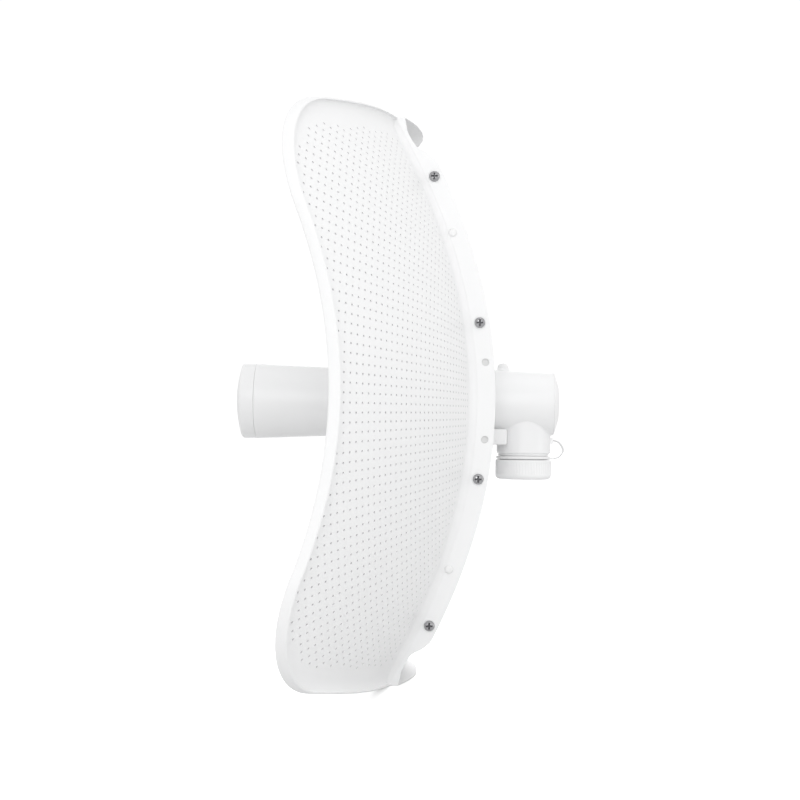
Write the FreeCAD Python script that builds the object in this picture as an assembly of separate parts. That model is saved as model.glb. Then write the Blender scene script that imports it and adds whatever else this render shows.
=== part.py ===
"""Outdoor wireless bridge: a dish of two wings on a centre panel, with a radio feed through it.

Millimetres. +Z is up and the beam leaves along -Y. The origin is on the feed's axis, level with
the four bracket inserts in the centre panel's walls. The dish is a paraboloid about the Y axis.
"""
import FreeCAD, Part
import math
import os

V = FreeCAD.Vector

# Dish: the paraboloid and its rounded outline, a little waisted at the sides
FOCAL = 108.2
VERTEX_Y = -3.4
HALF_WIDTH = 161.2
HALF_HEIGHT = 132.0
TOP_RADIUS = 720.0
SIDE_RADIUS = -960.0
CORNER_RADIUS = 47.5
SHEET = 0.8
LIP = 5.0

# Centre panel, and the wing flanges screwed to its walls
WALL_X = 41.7
FLANGE = 12.2
FLANGE_END_Z = 109.0
FLANGE_STEP = ((-2.0, 3.4), (-5.4, 5.8), (-9.4, 7.9), (-12.3, 11.2))
TIP_DEPTH = 8.5
END_Z = HALF_HEIGHT - WALL_X * WALL_X / (2 * TOP_RADIUS)
END_BULGE = 7.6
WALL_STEP = 1.2
SCREW_IN = 7.6
STUD_IN = 5.6
SCREW_Z = (103.2, 35.9)
STUD_Z = 77.3
BRACKET_PITCH = 35.5
SCREW_HEAD_R = 2.4
SCREW_HEAD_H = 1.7
SCREW_R = 1.45
SCREW_LENGTH = 6.0
RECESS_DEPTH = 1.0
NUT_R = 2.9
NUT_H = 2.0
HOLE_R = 1.7
STUD_HEAD_R = 1.9
STUD_HEAD_H = 1.1
STUD_SHANK_R = 1.3
STUD_LENGTH = 4.2
INSERT_BORE_R = 1.25
INSERT_SHANK_R = 2.1
INSERT_BODY_R = 3.0
INSERT_BODY_H = 2.2
BRACKET_HOLE_R = 1.75

# Feed: the radome tube in front, the collar in the panel and the housing behind
DOME_Y = -119.6
CAP_EDGE_Y = -117.0
CAP_SEAM_Y = -109.9
TUBE_FRONT_R = 18.3
TUBE_NECK_R = 16.2
TUBE_SHOULDER_Y = -9.6
TUBE_FLARE_Y = -107.5
TUBE_TAPER_Y = -77.5
TUBE_TAPER_R = 17.0
TUBE_SLIM_Y = -45.0
WALL = 1.6
SPIGOT_R = 14.6
FRONT_SPIGOT = 5.0
SEAL_GROOVE = (2.0, 3.4)
SEAL_GROOVE_DEPTH = 0.8
SEAL_WIDTH = 1.2
COLLAR_R = 16.8
BEZEL_R = 21.0
BEZEL_FOOT_R = TUBE_NECK_R + 1.2
COLLAR_BACK_Y = 5.5
BOSS_X = (9.5, 15.5)
BOSS_Y = (2.0, 11.2)
BOSS_Z = (-20.1, -12.7)
HOUSING_FRONT_Y = 6.2
HOUSING_BACK_Y = 33.9
HOUSING_FRONT_R = 16.3
HOUSING_BACK_R = 15.2
END_Y = 36.5
END_FLAT_R = 8.3

# Cable port under the housing
PORT_Y = 20.0
NECK_R = 12.9
NECK_BOTTOM_Z = -24.2
NECK_END_Z = -34.6
THREAD_R = 11.5
PORT_BORE_R = 10.4
RING_TOP_Z = -25.5
RING_BOTTOM_Z = -27.0
RING_R = 13.1
CAP_R = 13.5
CAP_TOP_Z = -27.3
CAP_BOTTOM_Z = -36.8
CAP_BORE_R = 12.0
CAP_FLOOR_Z = -35.7
CAP_EDGE_ROUND = 2.2
RIBS = 36
RIB_GROOVE_R = 0.25
RIB_LOW_Z = -34.0
RIB_LENGTH = 6.0
BEAD_Z = (-31.3, -30.7)
THREAD_GROOVE_Z = (-31.6, -30.4)
SEAL_BORE_R = 8.2
SEAL_T = 0.8
BULKHEAD_Z = -13.0
BULKHEAD_T = 1.2
ANCHOR_Z = (-19.4, -16.6)
ANCHOR_BACK_Y = 34.2
STRAP_HALF_W = 1.3
STRAP_HALF_T = 0.35
LUG_HALF_W = 1.5
LUG_T = 0.8
LUG_END_Y = 34.6

# Electronics on one board along the axis
BOARD_Z = 2.0
BOARD_T = 1.2
BOARD_HALF_W = 10.5
BOARD_FRONT_Y = -96.0
BOARD_BACK_Y = 30.0
JACK_HALF_X = 7.8
JACK_HALF_Y = 6.4
JACK_BOTTOM_Z = -19.5
PLUG_HALF_X = 5.9
PLUG_FRONT = 4.6
PLUG_BACK = 2.6
PLUG_TOP_Z = -5.5
LATCH_HALF_X = 3.1
LATCH_BACK = 4.8
LATCH_TOP_Z = -12.0
CONTACTS = 8
CONTACT_PITCH = 1.02
CONTACT_HALF_W = 0.2
CONTACT_T = 0.5
CONTACT_LOW_Z = -16.5
SHIELD_Y = (-62.0, -22.0)
SHIELD_HALF_W = 8.5
SHIELD_H = 3.2
SHIELD_T = 0.3
RAIL_Y = (-92.0, -12.0)
RAIL_X = (8.8, 12.2)
RAIL_HALF_H = 2.4
RAIL_OUTER_R = 12.85
RESET_Y = PORT_Y + 8.4
RESET_R = 1.1
RESET_Z = (-15.6, 0.2)
RESET_FLANGE_R = 1.7
RESET_FLANGE_H = 0.8
SWITCH_HALF = 1.5
SWITCH_BASE_Z = 0.9
SWITCH_TIP_Z = 0.75
SWITCH_TIP_R = 0.8
RELEASE_Y = 9.7
RELEASE_R = 2.6
RELEASE_TOP_Z = 19.5
RELEASE_FLANGE_R = 3.0
RELEASE_FLANGE_Z = 11.4
RELEASE_FLANGE_H = 0.9
RELEASE_TRAVEL = 1.5
RELEASE_SLOT_R = 4.2
CUP_R = 11.0
CUP_T = 0.8
CUP_BACK_Y = -97.4
CUP_RIM_Y = -103.0
SPLASH_R = 14.6
SPLASH_CONE_R = 5.0
SPLASH_CONE_H = 4.0
SPLASH_T = 1.0
CLEARANCE = 0.1

# Longer than any piece, for the solids that only trim others
BEYOND = 140.0


def dish_y(radius):
    """Front face of the dish at this distance from the beam axis."""
    return VERTEX_Y - radius * radius / (4.0 * FOCAL)


def block(low, high):
    size = [b - a for a, b in zip(low, high)]
    return Part.makeBox(size[0], size[1], size[2], V(*low))


def rod(radius, start, end):
    """A cylinder between two points."""
    along = V(*end) - V(*start)
    return Part.makeCylinder(radius, along.Length, V(*start), along)


def tube(outer, inner, start, end):
    return rod(outer, start, end).cut(rod(inner, start, end))


def turned(profile):
    """Revolve a closed list of (radius, y) points about the beam axis."""
    points = [V(r, y, 0) for r, y in profile]
    face = Part.Face(Part.makePolygon(points + points[:1]))
    return face.revolve(V(0, 0, 0), V(0, 1, 0), 360)


def mirrored(shape):
    return shape.mirror(V(0, 0, 0), V(1, 0, 0))


def both_sides(shapes):
    """The shapes on +X and their mirror images on -X, as one group."""
    return Part.makeCompound(list(shapes) + [mirrored(s) for s in shapes])


def arc(centre, radius, start, end):
    """An arc in the XZ plane between two angles, in radians."""
    def at(angle):
        return V(centre[0] + radius * math.cos(angle), 0, centre[1] + radius * math.sin(angle))
    return Part.Arc(at(start), at((start + end) / 2), at(end)).toShape()


def outline_face(inset, inner_x):
    """One half of the dish outline, from inner_x outwards, in the XZ plane.

    A negative side radius makes a hollow side. Each reach is the distance from an edge's
    centre to the corner's centre, so the three arcs meet tangent to each other.
    """
    top_r = TOP_RADIUS - inset
    side_r = SIDE_RADIUS - inset
    corner_r = CORNER_RADIUS - inset
    top_c = (0.0, HALF_HEIGHT - TOP_RADIUS)
    low_c = (0.0, -top_c[1])
    side_c = (HALF_WIDTH - SIDE_RADIUS, 0.0)
    reach_top = top_r - corner_r
    reach_side = side_r - corner_r
    dx, dz = side_c[0] - top_c[0], side_c[1] - top_c[1]
    gap = math.hypot(dx, dz)
    along = (reach_top ** 2 - reach_side ** 2 + gap ** 2) / (2 * gap)
    off = math.sqrt(reach_top ** 2 - along ** 2)
    spots = [(top_c[0] + (along * dx - s * off * dz) / gap,
              top_c[1] + (along * dz + s * off * dx) / gap) for s in (1, -1)]
    corner = max(spots, key=sum)
    low_corner = (corner[0], -corner[1])
    a_top = math.atan2(corner[1] - top_c[1], corner[0] - top_c[0])
    a_side = math.asin(corner[1] / reach_side)
    a_inner = math.acos(inner_x / top_r)
    edges = [arc(top_c, top_r, a_inner, a_top),
             arc(corner, corner_r, a_top, a_side),
             arc(side_c, side_r, a_side, -a_side),
             arc(low_corner, corner_r, -a_side, -a_top),
             arc(low_c, top_r, -a_top, -a_inner)]
    inner_z = top_c[1] + top_r * math.sin(a_inner)
    edges.append(Part.makeLine(V(inner_x, 0, -inner_z), V(inner_x, 0, inner_z)))
    return Part.Face(Part.Wire(Part.__sortEdges__(edges)))


def outline_prism(inset, inner_x):
    face = outline_face(inset, inner_x)
    face.translate(V(0, -BEYOND, 0))
    return face.extrude(V(0, 2 * BEYOND, 0))


def bowl(depth):
    """The paraboloid sheet, depth thick, measured along Y."""
    reach = 235.0
    def curve(shift):
        poles = [V(0, VERTEX_Y + shift, 0), V(reach / 2, VERTEX_Y + shift, 0),
                 V(reach, dish_y(reach) + shift, 0)]
        bezier = Part.BezierCurve()
        bezier.setPoles(poles)
        return bezier.toShape()
    rim = Part.makeLine(V(reach, dish_y(reach), 0), V(reach, dish_y(reach) + depth, 0))
    axis = Part.makeLine(V(0, VERTEX_Y, 0), V(0, VERTEX_Y + depth, 0))
    face = Part.Face(Part.Wire(Part.__sortEdges__([curve(0), rim, curve(depth), axis])))
    return face.revolve(V(0, 0, 0), V(0, 1, 0), 360)


def at_wall(z, depth):
    """A point of the wall's plane, as far behind the dish's front face as depth says."""
    return V(0, dish_y(math.hypot(WALL_X, z)) + depth, z)


def parabola_edge(depth, z_limit):
    """The dish's curve at the wall, in the YZ plane, moved back by depth."""
    middle = at_wall(0, depth)
    drop = z_limit ** 2 / (4.0 * FOCAL)
    bezier = Part.BezierCurve()
    bezier.setPoles([at_wall(-z_limit, depth), V(0, middle.y + drop, 0), at_wall(z_limit, depth)])
    return bezier.toShape()


def side_profile(front, depth, end_z):
    """Outline of a wall in the YZ plane: full depth in the middle, an S-step near each end."""
    edges = [parabola_edge(front, end_z), parabola_edge(depth, FLANGE_END_Z)]
    for side in (1, -1):
        start = at_wall(side * FLANGE_END_Z, depth)
        step = [V(0, start.y + dy, side * (FLANGE_END_Z + dz)) for dy, dz in FLANGE_STEP]
        tip_back = at_wall(side * end_z, depth - FLANGE + TIP_DEPTH)
        edges += [Part.Arc(start, step[0], step[1]).toShape(),
                  Part.Arc(step[1], step[2], step[3]).toShape(),
                  Part.makeLine(step[3], tip_back),
                  Part.makeLine(tip_back, at_wall(side * end_z, front))]
    return Part.Face(Part.Wire(Part.__sortEdges__(edges)))


def fastener_spots():
    """(y, z) of the wing screws and of the snap studs, along one flange."""
    def spot(z, inset):
        return (dish_y(math.hypot(WALL_X, z)) + inset, z)
    screws = [spot(s * z, SCREW_IN) for z in SCREW_Z for s in (1, -1)]
    studs = [spot(s * STUD_Z, STUD_IN) for s in (1, -1)]
    return screws, studs


def bracket_spots():
    return [(0.0, s * BRACKET_PITCH / 2) for s in (1, -1)]


def drill_x(shape, spots, radius):
    for y, z in spots:
        shape = shape.cut(rod(radius, (WALL_X - 4, y, z), (WALL_X + 4, y, z)))
    return shape


def wing():
    """The +X wing: dish sheet, rim lip turned back, flange turned back."""
    body = outline_prism(0, WALL_X)
    inner = outline_prism(SHEET, WALL_X - 1)
    sheet = bowl(SHEET).common(body)
    lip = bowl(LIP).common(body).cut(inner)
    flange = side_profile(SHEET / 2, FLANGE, END_Z - 0.1)
    flange.translate(V(WALL_X, 0, 0))
    flange = flange.extrude(V(SHEET, 0, 0))
    screws, studs = fastener_spots()
    flange = drill_x(flange, screws, HOLE_R)
    flange = drill_x(flange, studs, HOLE_R)
    flange = drill_x(flange, bracket_spots(), BRACKET_HOLE_R)
    return sheet.fuse([lip, flange]).removeSplitter()


def panel_wall():
    """One side wall of the centre panel, in contact with the wing's flange."""
    wall = side_profile(SHEET / 2, FLANGE - WALL_STEP, END_Z - SHEET / 2)
    wall.translate(V(WALL_X - SHEET, 0, 0))
    return wall.extrude(V(SHEET, 0, 0))


def end_wall():
    """The panel's top end wall, turned back from the dish, with a bowed rear edge."""
    half = WALL_X - SHEET / 2
    front_y = dish_y(END_Z) + SHEET / 2
    side_y = dish_y(math.hypot(WALL_X, END_Z)) + TIP_DEPTH
    root_y = dish_y(math.hypot(WALL_X, END_Z)) + SHEET / 2
    bow = Part.Arc(V(half, side_y, 0), V(0, side_y + END_BULGE, 0), V(-half, side_y, 0)).toShape()
    root = Part.Arc(V(half, root_y, 0), V(0, front_y, 0), V(-half, root_y, 0)).toShape()
    edges = [bow, root, Part.makeLine(V(-half, side_y, 0), V(-half, root_y, 0)),
             Part.makeLine(V(half, root_y, 0), V(half, side_y, 0))]
    plate = Part.Face(Part.Wire(Part.__sortEdges__(edges)))
    plate.translate(V(0, 0, END_Z - SHEET))
    return plate.extrude(V(0, 0, SHEET))


def centre_panel():
    """The middle of the dish, with two side walls and an end wall at the top and the bottom."""
    web = bowl(SHEET).common(block((-WALL_X, -BEYOND, -END_Z), (WALL_X, BEYOND, END_Z)))
    screws, studs = fastener_spots()
    wall = drill_x(panel_wall(), screws, HOLE_R)
    wall = drill_x(wall, studs, STUD_SHANK_R + 0.05)
    wall = drill_x(wall, bracket_spots(), INSERT_SHANK_R)
    top = end_wall()
    bottom = top.mirror(V(0, 0, 0), V(0, 0, 1))
    body = web.fuse([wall, mirrored(wall), top, bottom])
    return body.cut(rod(COLLAR_R + CLEARANCE, (0, -BEYOND, 0), (0, BEYOND, 0))).removeSplitter()


def pan_screw(y, z):
    """Pan head outside the flange, cross recess, shank to the inside."""
    seat = WALL_X + SHEET
    top = seat + SCREW_HEAD_H
    head = rod(SCREW_HEAD_R, (seat, y, z), (top, y, z))
    rim = [e for e in head.Edges if e.BoundBox.XMin > top - 0.01]
    head = head.makeFillet(1.1, rim[:1])
    floor = top - RECESS_DEPTH
    for wide, tall in ((0.45, 1.5), (1.5, 0.45)):
        head = head.cut(block((floor, y - wide, z - tall), (top + 1, y + wide, z + tall)))
    return head.fuse(rod(SCREW_R, (seat - SCREW_LENGTH, y, z), (seat, y, z)))


def clinch_nut(y, z):
    """Hexagon nut pressed against the inside of the panel's wall."""
    inner = WALL_X - SHEET
    turns = [math.pi / 6 + i * math.pi / 3 for i in range(6)]
    points = [V(inner - NUT_H, y + NUT_R * math.cos(a), z + NUT_R * math.sin(a)) for a in turns]
    body = Part.Face(Part.makePolygon(points + points[:1])).extrude(V(NUT_H, 0, 0))
    return body.cut(rod(SCREW_R + 0.05, (inner - NUT_H - 1, y, z), (inner + 1, y, z)))


def snap_stud(y, z):
    """White plastic stud: low domed head outside, split barb inside."""
    seat = WALL_X + SHEET
    top = seat + STUD_HEAD_H
    head = rod(STUD_HEAD_R, (seat, y, z), (top, y, z))
    rim = [e for e in head.Edges if e.BoundBox.XMin > top - 0.01]
    head = head.makeFillet(0.9, rim[:1])
    shank = rod(STUD_SHANK_R, (seat - STUD_LENGTH, y, z), (seat, y, z))
    slot = block((seat - STUD_LENGTH - 1, y - 0.2, z - 2), (seat - 2, y + 0.2, z + 2))
    return head.fuse(shank).cut(slot)


def bracket_insert(y, z):
    """Press-in threaded insert: round body inside, shank flush with the wall's outer face."""
    inner = WALL_X - SHEET
    body = rod(INSERT_BODY_R, (inner - INSERT_BODY_H, y, z), (inner, y, z))
    shank = rod(INSERT_SHANK_R - 0.02, (inner, y, z), (WALL_X, y, z))
    bore = rod(INSERT_BORE_R, (inner - INSERT_BODY_H - 1, y, z), (WALL_X + 1, y, z))
    return body.fuse(shank).cut(bore)


def feed_tube():
    """Radome tube: flared in front, with a spigot that goes through the collar."""
    outer = [(TUBE_FRONT_R, CAP_SEAM_Y), (TUBE_FRONT_R, TUBE_FLARE_Y),
             (TUBE_TAPER_R, TUBE_TAPER_Y), (TUBE_NECK_R, TUBE_SLIM_Y),
             (TUBE_NECK_R, TUBE_SHOULDER_Y), (SPIGOT_R, TUBE_SHOULDER_Y),
             (SPIGOT_R, HOUSING_FRONT_Y)]
    bore = [(SPIGOT_R - WALL, HOUSING_FRONT_Y), (SPIGOT_R - WALL, TUBE_SLIM_Y),
            (TUBE_TAPER_R - WALL, TUBE_TAPER_Y), (TUBE_FRONT_R - WALL, TUBE_FLARE_Y),
            (TUBE_FRONT_R - WALL, CAP_SEAM_Y)]
    return turned(outer + bore)


def dome_points(edge_r, edge_y, tip_y):
    """(radius, y) of a shallow dome from its edge to the axis."""
    steps = 6
    return [(edge_r * (1 - i / steps), tip_y + (edge_y - tip_y) * (1 - i / steps) ** 2)
            for i in range(steps + 1)]


def front_cap():
    """Domed cap with a spigot inside the tube and a seal groove on it."""
    spigot = TUBE_FRONT_R - WALL - 0.15
    bore = TUBE_FRONT_R - 3.0
    end = CAP_SEAM_Y + FRONT_SPIGOT
    groove = spigot - SEAL_GROOVE_DEPTH
    groove_y = [CAP_SEAM_Y + y for y in SEAL_GROOVE]
    trail = [(bore, end), (spigot, end), (spigot, groove_y[1]), (groove, groove_y[1]),
             (groove, groove_y[0]), (spigot, groove_y[0]), (spigot, CAP_SEAM_Y),
             (TUBE_FRONT_R, CAP_SEAM_Y), (TUBE_FRONT_R, CAP_EDGE_Y + 1.2)]
    outside = dome_points(TUBE_FRONT_R - 1.2, CAP_EDGE_Y, DOME_Y)
    inside = dome_points(bore, CAP_EDGE_Y + 1.4, DOME_Y + WALL)
    return turned(trail + outside + inside[::-1])


def front_seal():
    """Square-section ring in the front cap's groove."""
    outer = TUBE_FRONT_R - WALL - 0.03
    centre_y = CAP_SEAM_Y + sum(SEAL_GROOVE) / 2
    return tube(outer, outer - SEAL_GROOVE_DEPTH,
                (0, centre_y - SEAL_WIDTH / 2, 0), (0, centre_y + SEAL_WIDTH / 2, 0))


def feed_collar():
    """Plastic collar in the panel: bezel in front of it, two square bosses behind it."""
    inner = SPIGOT_R + CLEARANCE
    front_y = TUBE_SHOULDER_Y + CLEARANCE
    web_y = dish_y(BEZEL_R) - CLEARANCE
    ring = turned([(inner, front_y), (BEZEL_FOOT_R, front_y), (BEZEL_R, web_y - 1.0),
                   (BEZEL_R, web_y), (COLLAR_R, web_y), (COLLAR_R, COLLAR_BACK_Y),
                   (inner, COLLAR_BACK_Y)])
    boss = block(*zip(BOSS_X, BOSS_Y, BOSS_Z))
    gap = 2 * CLEARANCE
    boss = boss.cut(rod(HOUSING_FRONT_R + gap, (0, COLLAR_BACK_Y, 0), (0, BEYOND, 0)))
    boss = boss.cut(rod(COLLAR_R - 1.0, (0, -BEYOND, 0), (0, COLLAR_BACK_Y, 0)))
    boss = boss.cut(rod(NECK_R + gap, (0, PORT_Y, -BEYOND), (0, PORT_Y, 0)))
    return ring.fuse([boss, mirrored(boss)])


def housing_outside():
    body = turned([(0, HOUSING_FRONT_Y + 0.05), (HOUSING_FRONT_R, HOUSING_FRONT_Y + 0.05),
                   (HOUSING_BACK_R, HOUSING_BACK_Y), (0, HOUSING_BACK_Y)])
    neck = rod(NECK_R, (0, PORT_Y, 0), (0, PORT_Y, NECK_BOTTOM_Z))
    spout = rod(THREAD_R, (0, PORT_Y, 0), (0, PORT_Y, NECK_END_Z))
    spigot = rod(SPIGOT_R - WALL - 0.1, (0, -4, 0), (0, HOUSING_FRONT_Y + 1, 0))
    return body.fuse([neck, spout, spigot])


def rear_housing():
    """Housing behind the dish, with the cable port's neck below and the release button's hole."""
    inner_r = HOUSING_BACK_R - WALL
    throat_r = SPIGOT_R - 2 * WALL
    pocket_low = RELEASE_FLANGE_Z - RELEASE_TRAVEL - 0.5
    pocket_high = RELEASE_FLANGE_Z + RELEASE_FLANGE_H + CLEARANCE
    hollow = rod(inner_r, (0, HOUSING_FRONT_Y + 2, 0), (0, HOUSING_BACK_Y + 1, 0))
    throat = rod(throat_r, (0, -6, 0), (0, HOUSING_FRONT_Y + 3, 0))
    port = rod(PORT_BORE_R, (0, PORT_Y, 0), (0, PORT_Y, NECK_END_Z - 1))
    hole = rod(RELEASE_R + CLEARANCE, (0, RELEASE_Y, 8), (0, RELEASE_Y, 25))
    pocket = rod(RELEASE_FLANGE_R + 2 * CLEARANCE,
                 (0, RELEASE_Y, pocket_low), (0, RELEASE_Y, pocket_high))
    groove = tube(THREAD_R + 1, THREAD_R - 0.7,
                  (0, PORT_Y, THREAD_GROOVE_Z[0]), (0, PORT_Y, THREAD_GROOVE_Z[1]))
    anchor = block((-LUG_HALF_W, PORT_Y + NECK_R - 0.9, ANCHOR_Z[0]),
                   (LUG_HALF_W, ANCHOR_BACK_Y, ANCHOR_Z[1]))
    body = housing_outside().fuse(anchor)
    return body.cut([hollow, throat, port, hole, pocket, groove])


def rear_end_cap():
    """Shallow end cap, plugged into the housing."""
    inner_r = HOUSING_BACK_R - WALL - 0.1
    return turned([(0, END_Y), (END_FLAT_R, END_Y), (HOUSING_BACK_R - 0.4, HOUSING_BACK_Y + 0.6),
                   (HOUSING_BACK_R, HOUSING_BACK_Y), (inner_r, HOUSING_BACK_Y),
                   (inner_r, HOUSING_BACK_Y - 2.5), (inner_r - 1.4, HOUSING_BACK_Y - 2.5),
                   (inner_r - 1.4, HOUSING_BACK_Y + 0.6), (0, HOUSING_BACK_Y + 0.8)])


def release_button():
    """Domed push button on top of the housing, kept in by a flange inside."""
    stem = rod(RELEASE_R, (0, RELEASE_Y, RELEASE_FLANGE_Z), (0, RELEASE_Y, RELEASE_TOP_Z))
    top = [e for e in stem.Edges if e.BoundBox.ZMin > RELEASE_TOP_Z - 0.01]
    stem = stem.makeFillet(2.2, top[:1])
    flange = rod(RELEASE_FLANGE_R, (0, RELEASE_Y, RELEASE_FLANGE_Z),
                 (0, RELEASE_Y, RELEASE_FLANGE_Z + RELEASE_FLANGE_H))
    return stem.fuse(flange)


def port_bulkhead():
    """Floor inside the neck, around the jack, with a guide for the reset button."""
    top = BULKHEAD_Z + BULKHEAD_T
    half_x = JACK_HALF_X + CLEARANCE
    half_y = JACK_HALF_Y + CLEARANCE
    plate = rod(PORT_BORE_R - 0.05, (0, PORT_Y, BULKHEAD_Z), (0, PORT_Y, top))
    window = block((-half_x, PORT_Y - half_y, BULKHEAD_Z - 1), (half_x, PORT_Y + half_y, top + 1))
    guide = rod(RESET_R + 0.06, (0, RESET_Y, BULKHEAD_Z - 1), (0, RESET_Y, top + 1))
    return plate.cut([window, guide])


def ethernet_jack():
    """Eight-contact jack, open downwards."""
    y0, y1 = PORT_Y - JACK_HALF_Y, PORT_Y + JACK_HALF_Y
    body = block((-JACK_HALF_X, y0, JACK_BOTTOM_Z), (JACK_HALF_X, y1, BOARD_Z))
    mouth_z = JACK_BOTTOM_Z - 1
    cavity = block((-PLUG_HALF_X, PORT_Y - PLUG_FRONT, mouth_z),
                   (PLUG_HALF_X, PORT_Y + PLUG_BACK, PLUG_TOP_Z))
    latch = block((-LATCH_HALF_X, PORT_Y, mouth_z),
                  (LATCH_HALF_X, PORT_Y + LATCH_BACK, LATCH_TOP_Z))
    return body.cut([cavity, latch])


def jack_contacts():
    """Eight springy contact wires on the front wall of the jack's cavity."""
    wires = []
    wall_y = PORT_Y - PLUG_FRONT
    for i in range(CONTACTS):
        x = (i - (CONTACTS - 1) / 2) * CONTACT_PITCH
        wires.append(block((x - CONTACT_HALF_W, wall_y, CONTACT_LOW_Z),
                           (x + CONTACT_HALF_W, wall_y + CONTACT_T, PLUG_TOP_Z)))
    return Part.makeCompound(wires)


def reset_button():
    """Push rod in the bulkhead's guide, under the switch, kept in by a flange."""
    flange_z = BULKHEAD_Z + BULKHEAD_T + CLEARANCE
    stem = rod(RESET_R, (0, RESET_Y, RESET_Z[0]), (0, RESET_Y, RESET_Z[1]))
    flange = rod(RESET_FLANGE_R, (0, RESET_Y, flange_z), (0, RESET_Y, flange_z + RESET_FLANGE_H))
    return stem.fuse(flange)


def reset_switch():
    """Small push switch under the board, with its round tip downwards."""
    base = block((-SWITCH_HALF, RESET_Y - SWITCH_HALF, SWITCH_BASE_Z),
                 (SWITCH_HALF, RESET_Y + SWITCH_HALF, BOARD_Z))
    tip = rod(SWITCH_TIP_R, (0, RESET_Y, SWITCH_TIP_Z), (0, RESET_Y, SWITCH_BASE_Z + 0.3))
    return base.fuse(tip)


def radio_board():
    """One long board along the axis, cut away under the release button."""
    board = block((-BOARD_HALF_W, BOARD_FRONT_Y, BOARD_Z),
                  (BOARD_HALF_W, BOARD_BACK_Y, BOARD_Z + BOARD_T))
    slot = rod(RELEASE_SLOT_R, (0, RELEASE_Y, BOARD_Z - 1), (0, RELEASE_Y, BOARD_Z + 3))
    return board.cut(slot)


def shield_can():
    """Thin tin box over the radio circuit, open towards the board."""
    low = BOARD_Z + BOARD_T
    half = SHIELD_HALF_W - SHIELD_T
    front, back = SHIELD_Y
    can = block((-SHIELD_HALF_W, front, low), (SHIELD_HALF_W, back, low + SHIELD_H))
    inside = block((-half, front + SHIELD_T, low - 1),
                   (half, back - SHIELD_T, low + SHIELD_H - SHIELD_T))
    return can.cut(inside)


def board_rails():
    """Two slotted rails that carry the board's edges inside the tube."""
    z_mid = BOARD_Z + BOARD_T / 2
    rail = block(*zip(RAIL_X, RAIL_Y, (z_mid - RAIL_HALF_H, z_mid + RAIL_HALF_H)))
    rail = rail.common(rod(RAIL_OUTER_R, (0, -BEYOND, 0), (0, 0, 0)))
    slot = block((0, -BEYOND, BOARD_Z - 0.05), (BOARD_HALF_W + 0.05, 0, BOARD_Z + BOARD_T + 0.05))
    return both_sides([rail.cut(slot)])


def feed_radiator():
    """Cup-shaped radiator on the board's front end."""
    inner = CUP_R - CUP_T
    floor = CUP_BACK_Y - CUP_T
    cup = turned([(0, CUP_BACK_Y), (CUP_R, CUP_BACK_Y), (CUP_R, CUP_RIM_Y), (inner, CUP_RIM_Y),
                  (inner, floor), (0, floor)])
    post = rod(1.0, (0, CUP_RIM_Y - 1.5, 0), (0, floor + 0.2, 0))
    foot = block((-3, CUP_BACK_Y - 0.1, -0.5), (3, BOARD_FRONT_Y - CLEARANCE, 4.5))
    return cup.fuse([post, foot])


def splash_plate():
    """Small sub-reflector disc behind the front cap, with its centre cone."""
    front = DOME_Y + 4.4
    back = front + SPLASH_T
    return turned([(0, front), (SPLASH_R, front), (SPLASH_R, back), (SPLASH_CONE_R, back),
                   (0, front + SPLASH_CONE_H)])


def port_seal():
    """Flat sealing washer in the bottom of the port cap."""
    return tube(CAP_BORE_R - 2 * CLEARANCE, SEAL_BORE_R,
                (0, PORT_Y, CAP_FLOOR_Z), (0, PORT_Y, CAP_FLOOR_Z + SEAL_T))


def port_cap():
    """Screw cap with a finely ribbed skirt and a rounded lower edge."""
    cap = rod(CAP_R, (0, PORT_Y, CAP_BOTTOM_Z), (0, PORT_Y, CAP_TOP_Z))
    low = [e for e in cap.Edges if e.BoundBox.ZMax < CAP_BOTTOM_Z + 0.01]
    cap = cap.makeFillet(CAP_EDGE_ROUND, low[:1])
    for i in range(RIBS):
        turn = 2 * math.pi * i / RIBS
        x = CAP_R * math.cos(turn)
        y = PORT_Y + CAP_R * math.sin(turn)
        cap = cap.cut(rod(RIB_GROOVE_R, (x, y, RIB_LOW_Z), (x, y, RIB_LOW_Z + RIB_LENGTH)))
    bore = rod(CAP_BORE_R, (0, PORT_Y, CAP_FLOOR_Z), (0, PORT_Y, CAP_TOP_Z + 1))
    bead = tube(CAP_BORE_R + 0.1, CAP_BORE_R - 0.35, (0, PORT_Y, BEAD_Z[0]), (0, PORT_Y, BEAD_Z[1]))
    return cap.cut(bore).fuse(bead)


def tether_ring():
    """Loose ring above the cap, held by its strap, with a lug for the strap."""
    ring = tube(RING_R, THREAD_R + 0.35, (0, PORT_Y, RING_BOTTOM_Z), (0, PORT_Y, RING_TOP_Z))
    lug = block((-LUG_HALF_W, PORT_Y + RING_R - 0.6, RING_BOTTOM_Z),
                (LUG_HALF_W, LUG_END_Y, RING_BOTTOM_Z + LUG_T))
    return ring.fuse(lug)


def cap_strap():
    """Thin flat strap from the neck's anchor out and back to the ring's lug."""
    def bow(grow):
        start = V(0, ANCHOR_BACK_Y, -17.7 + grow)
        top = V(0, 37.2 + grow * 0.6, -18.9 + grow * 0.8)
        side = V(0, 39.2 + grow, -22.4)
        low = V(0, 37.4 + grow * 0.6, -25.6 - grow * 0.8)
        end = V(0, LUG_END_Y + 0.05, -26.6 - grow)
        curve = Part.BSplineCurve()
        curve.interpolate([start, top, side, low, end])
        return curve.toShape(), start, end
    outer, a0, a1 = bow(STRAP_HALF_T)
    inner, b0, b1 = bow(-STRAP_HALF_T)
    edges = [outer, Part.makeLine(a1, b1), inner, Part.makeLine(b0, a0)]
    face = Part.Face(Part.Wire(Part.__sortEdges__(edges)))
    face.translate(V(-STRAP_HALF_W, 0, 0))
    return face.extrude(V(2 * STRAP_HALF_W, 0, 0))


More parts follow.
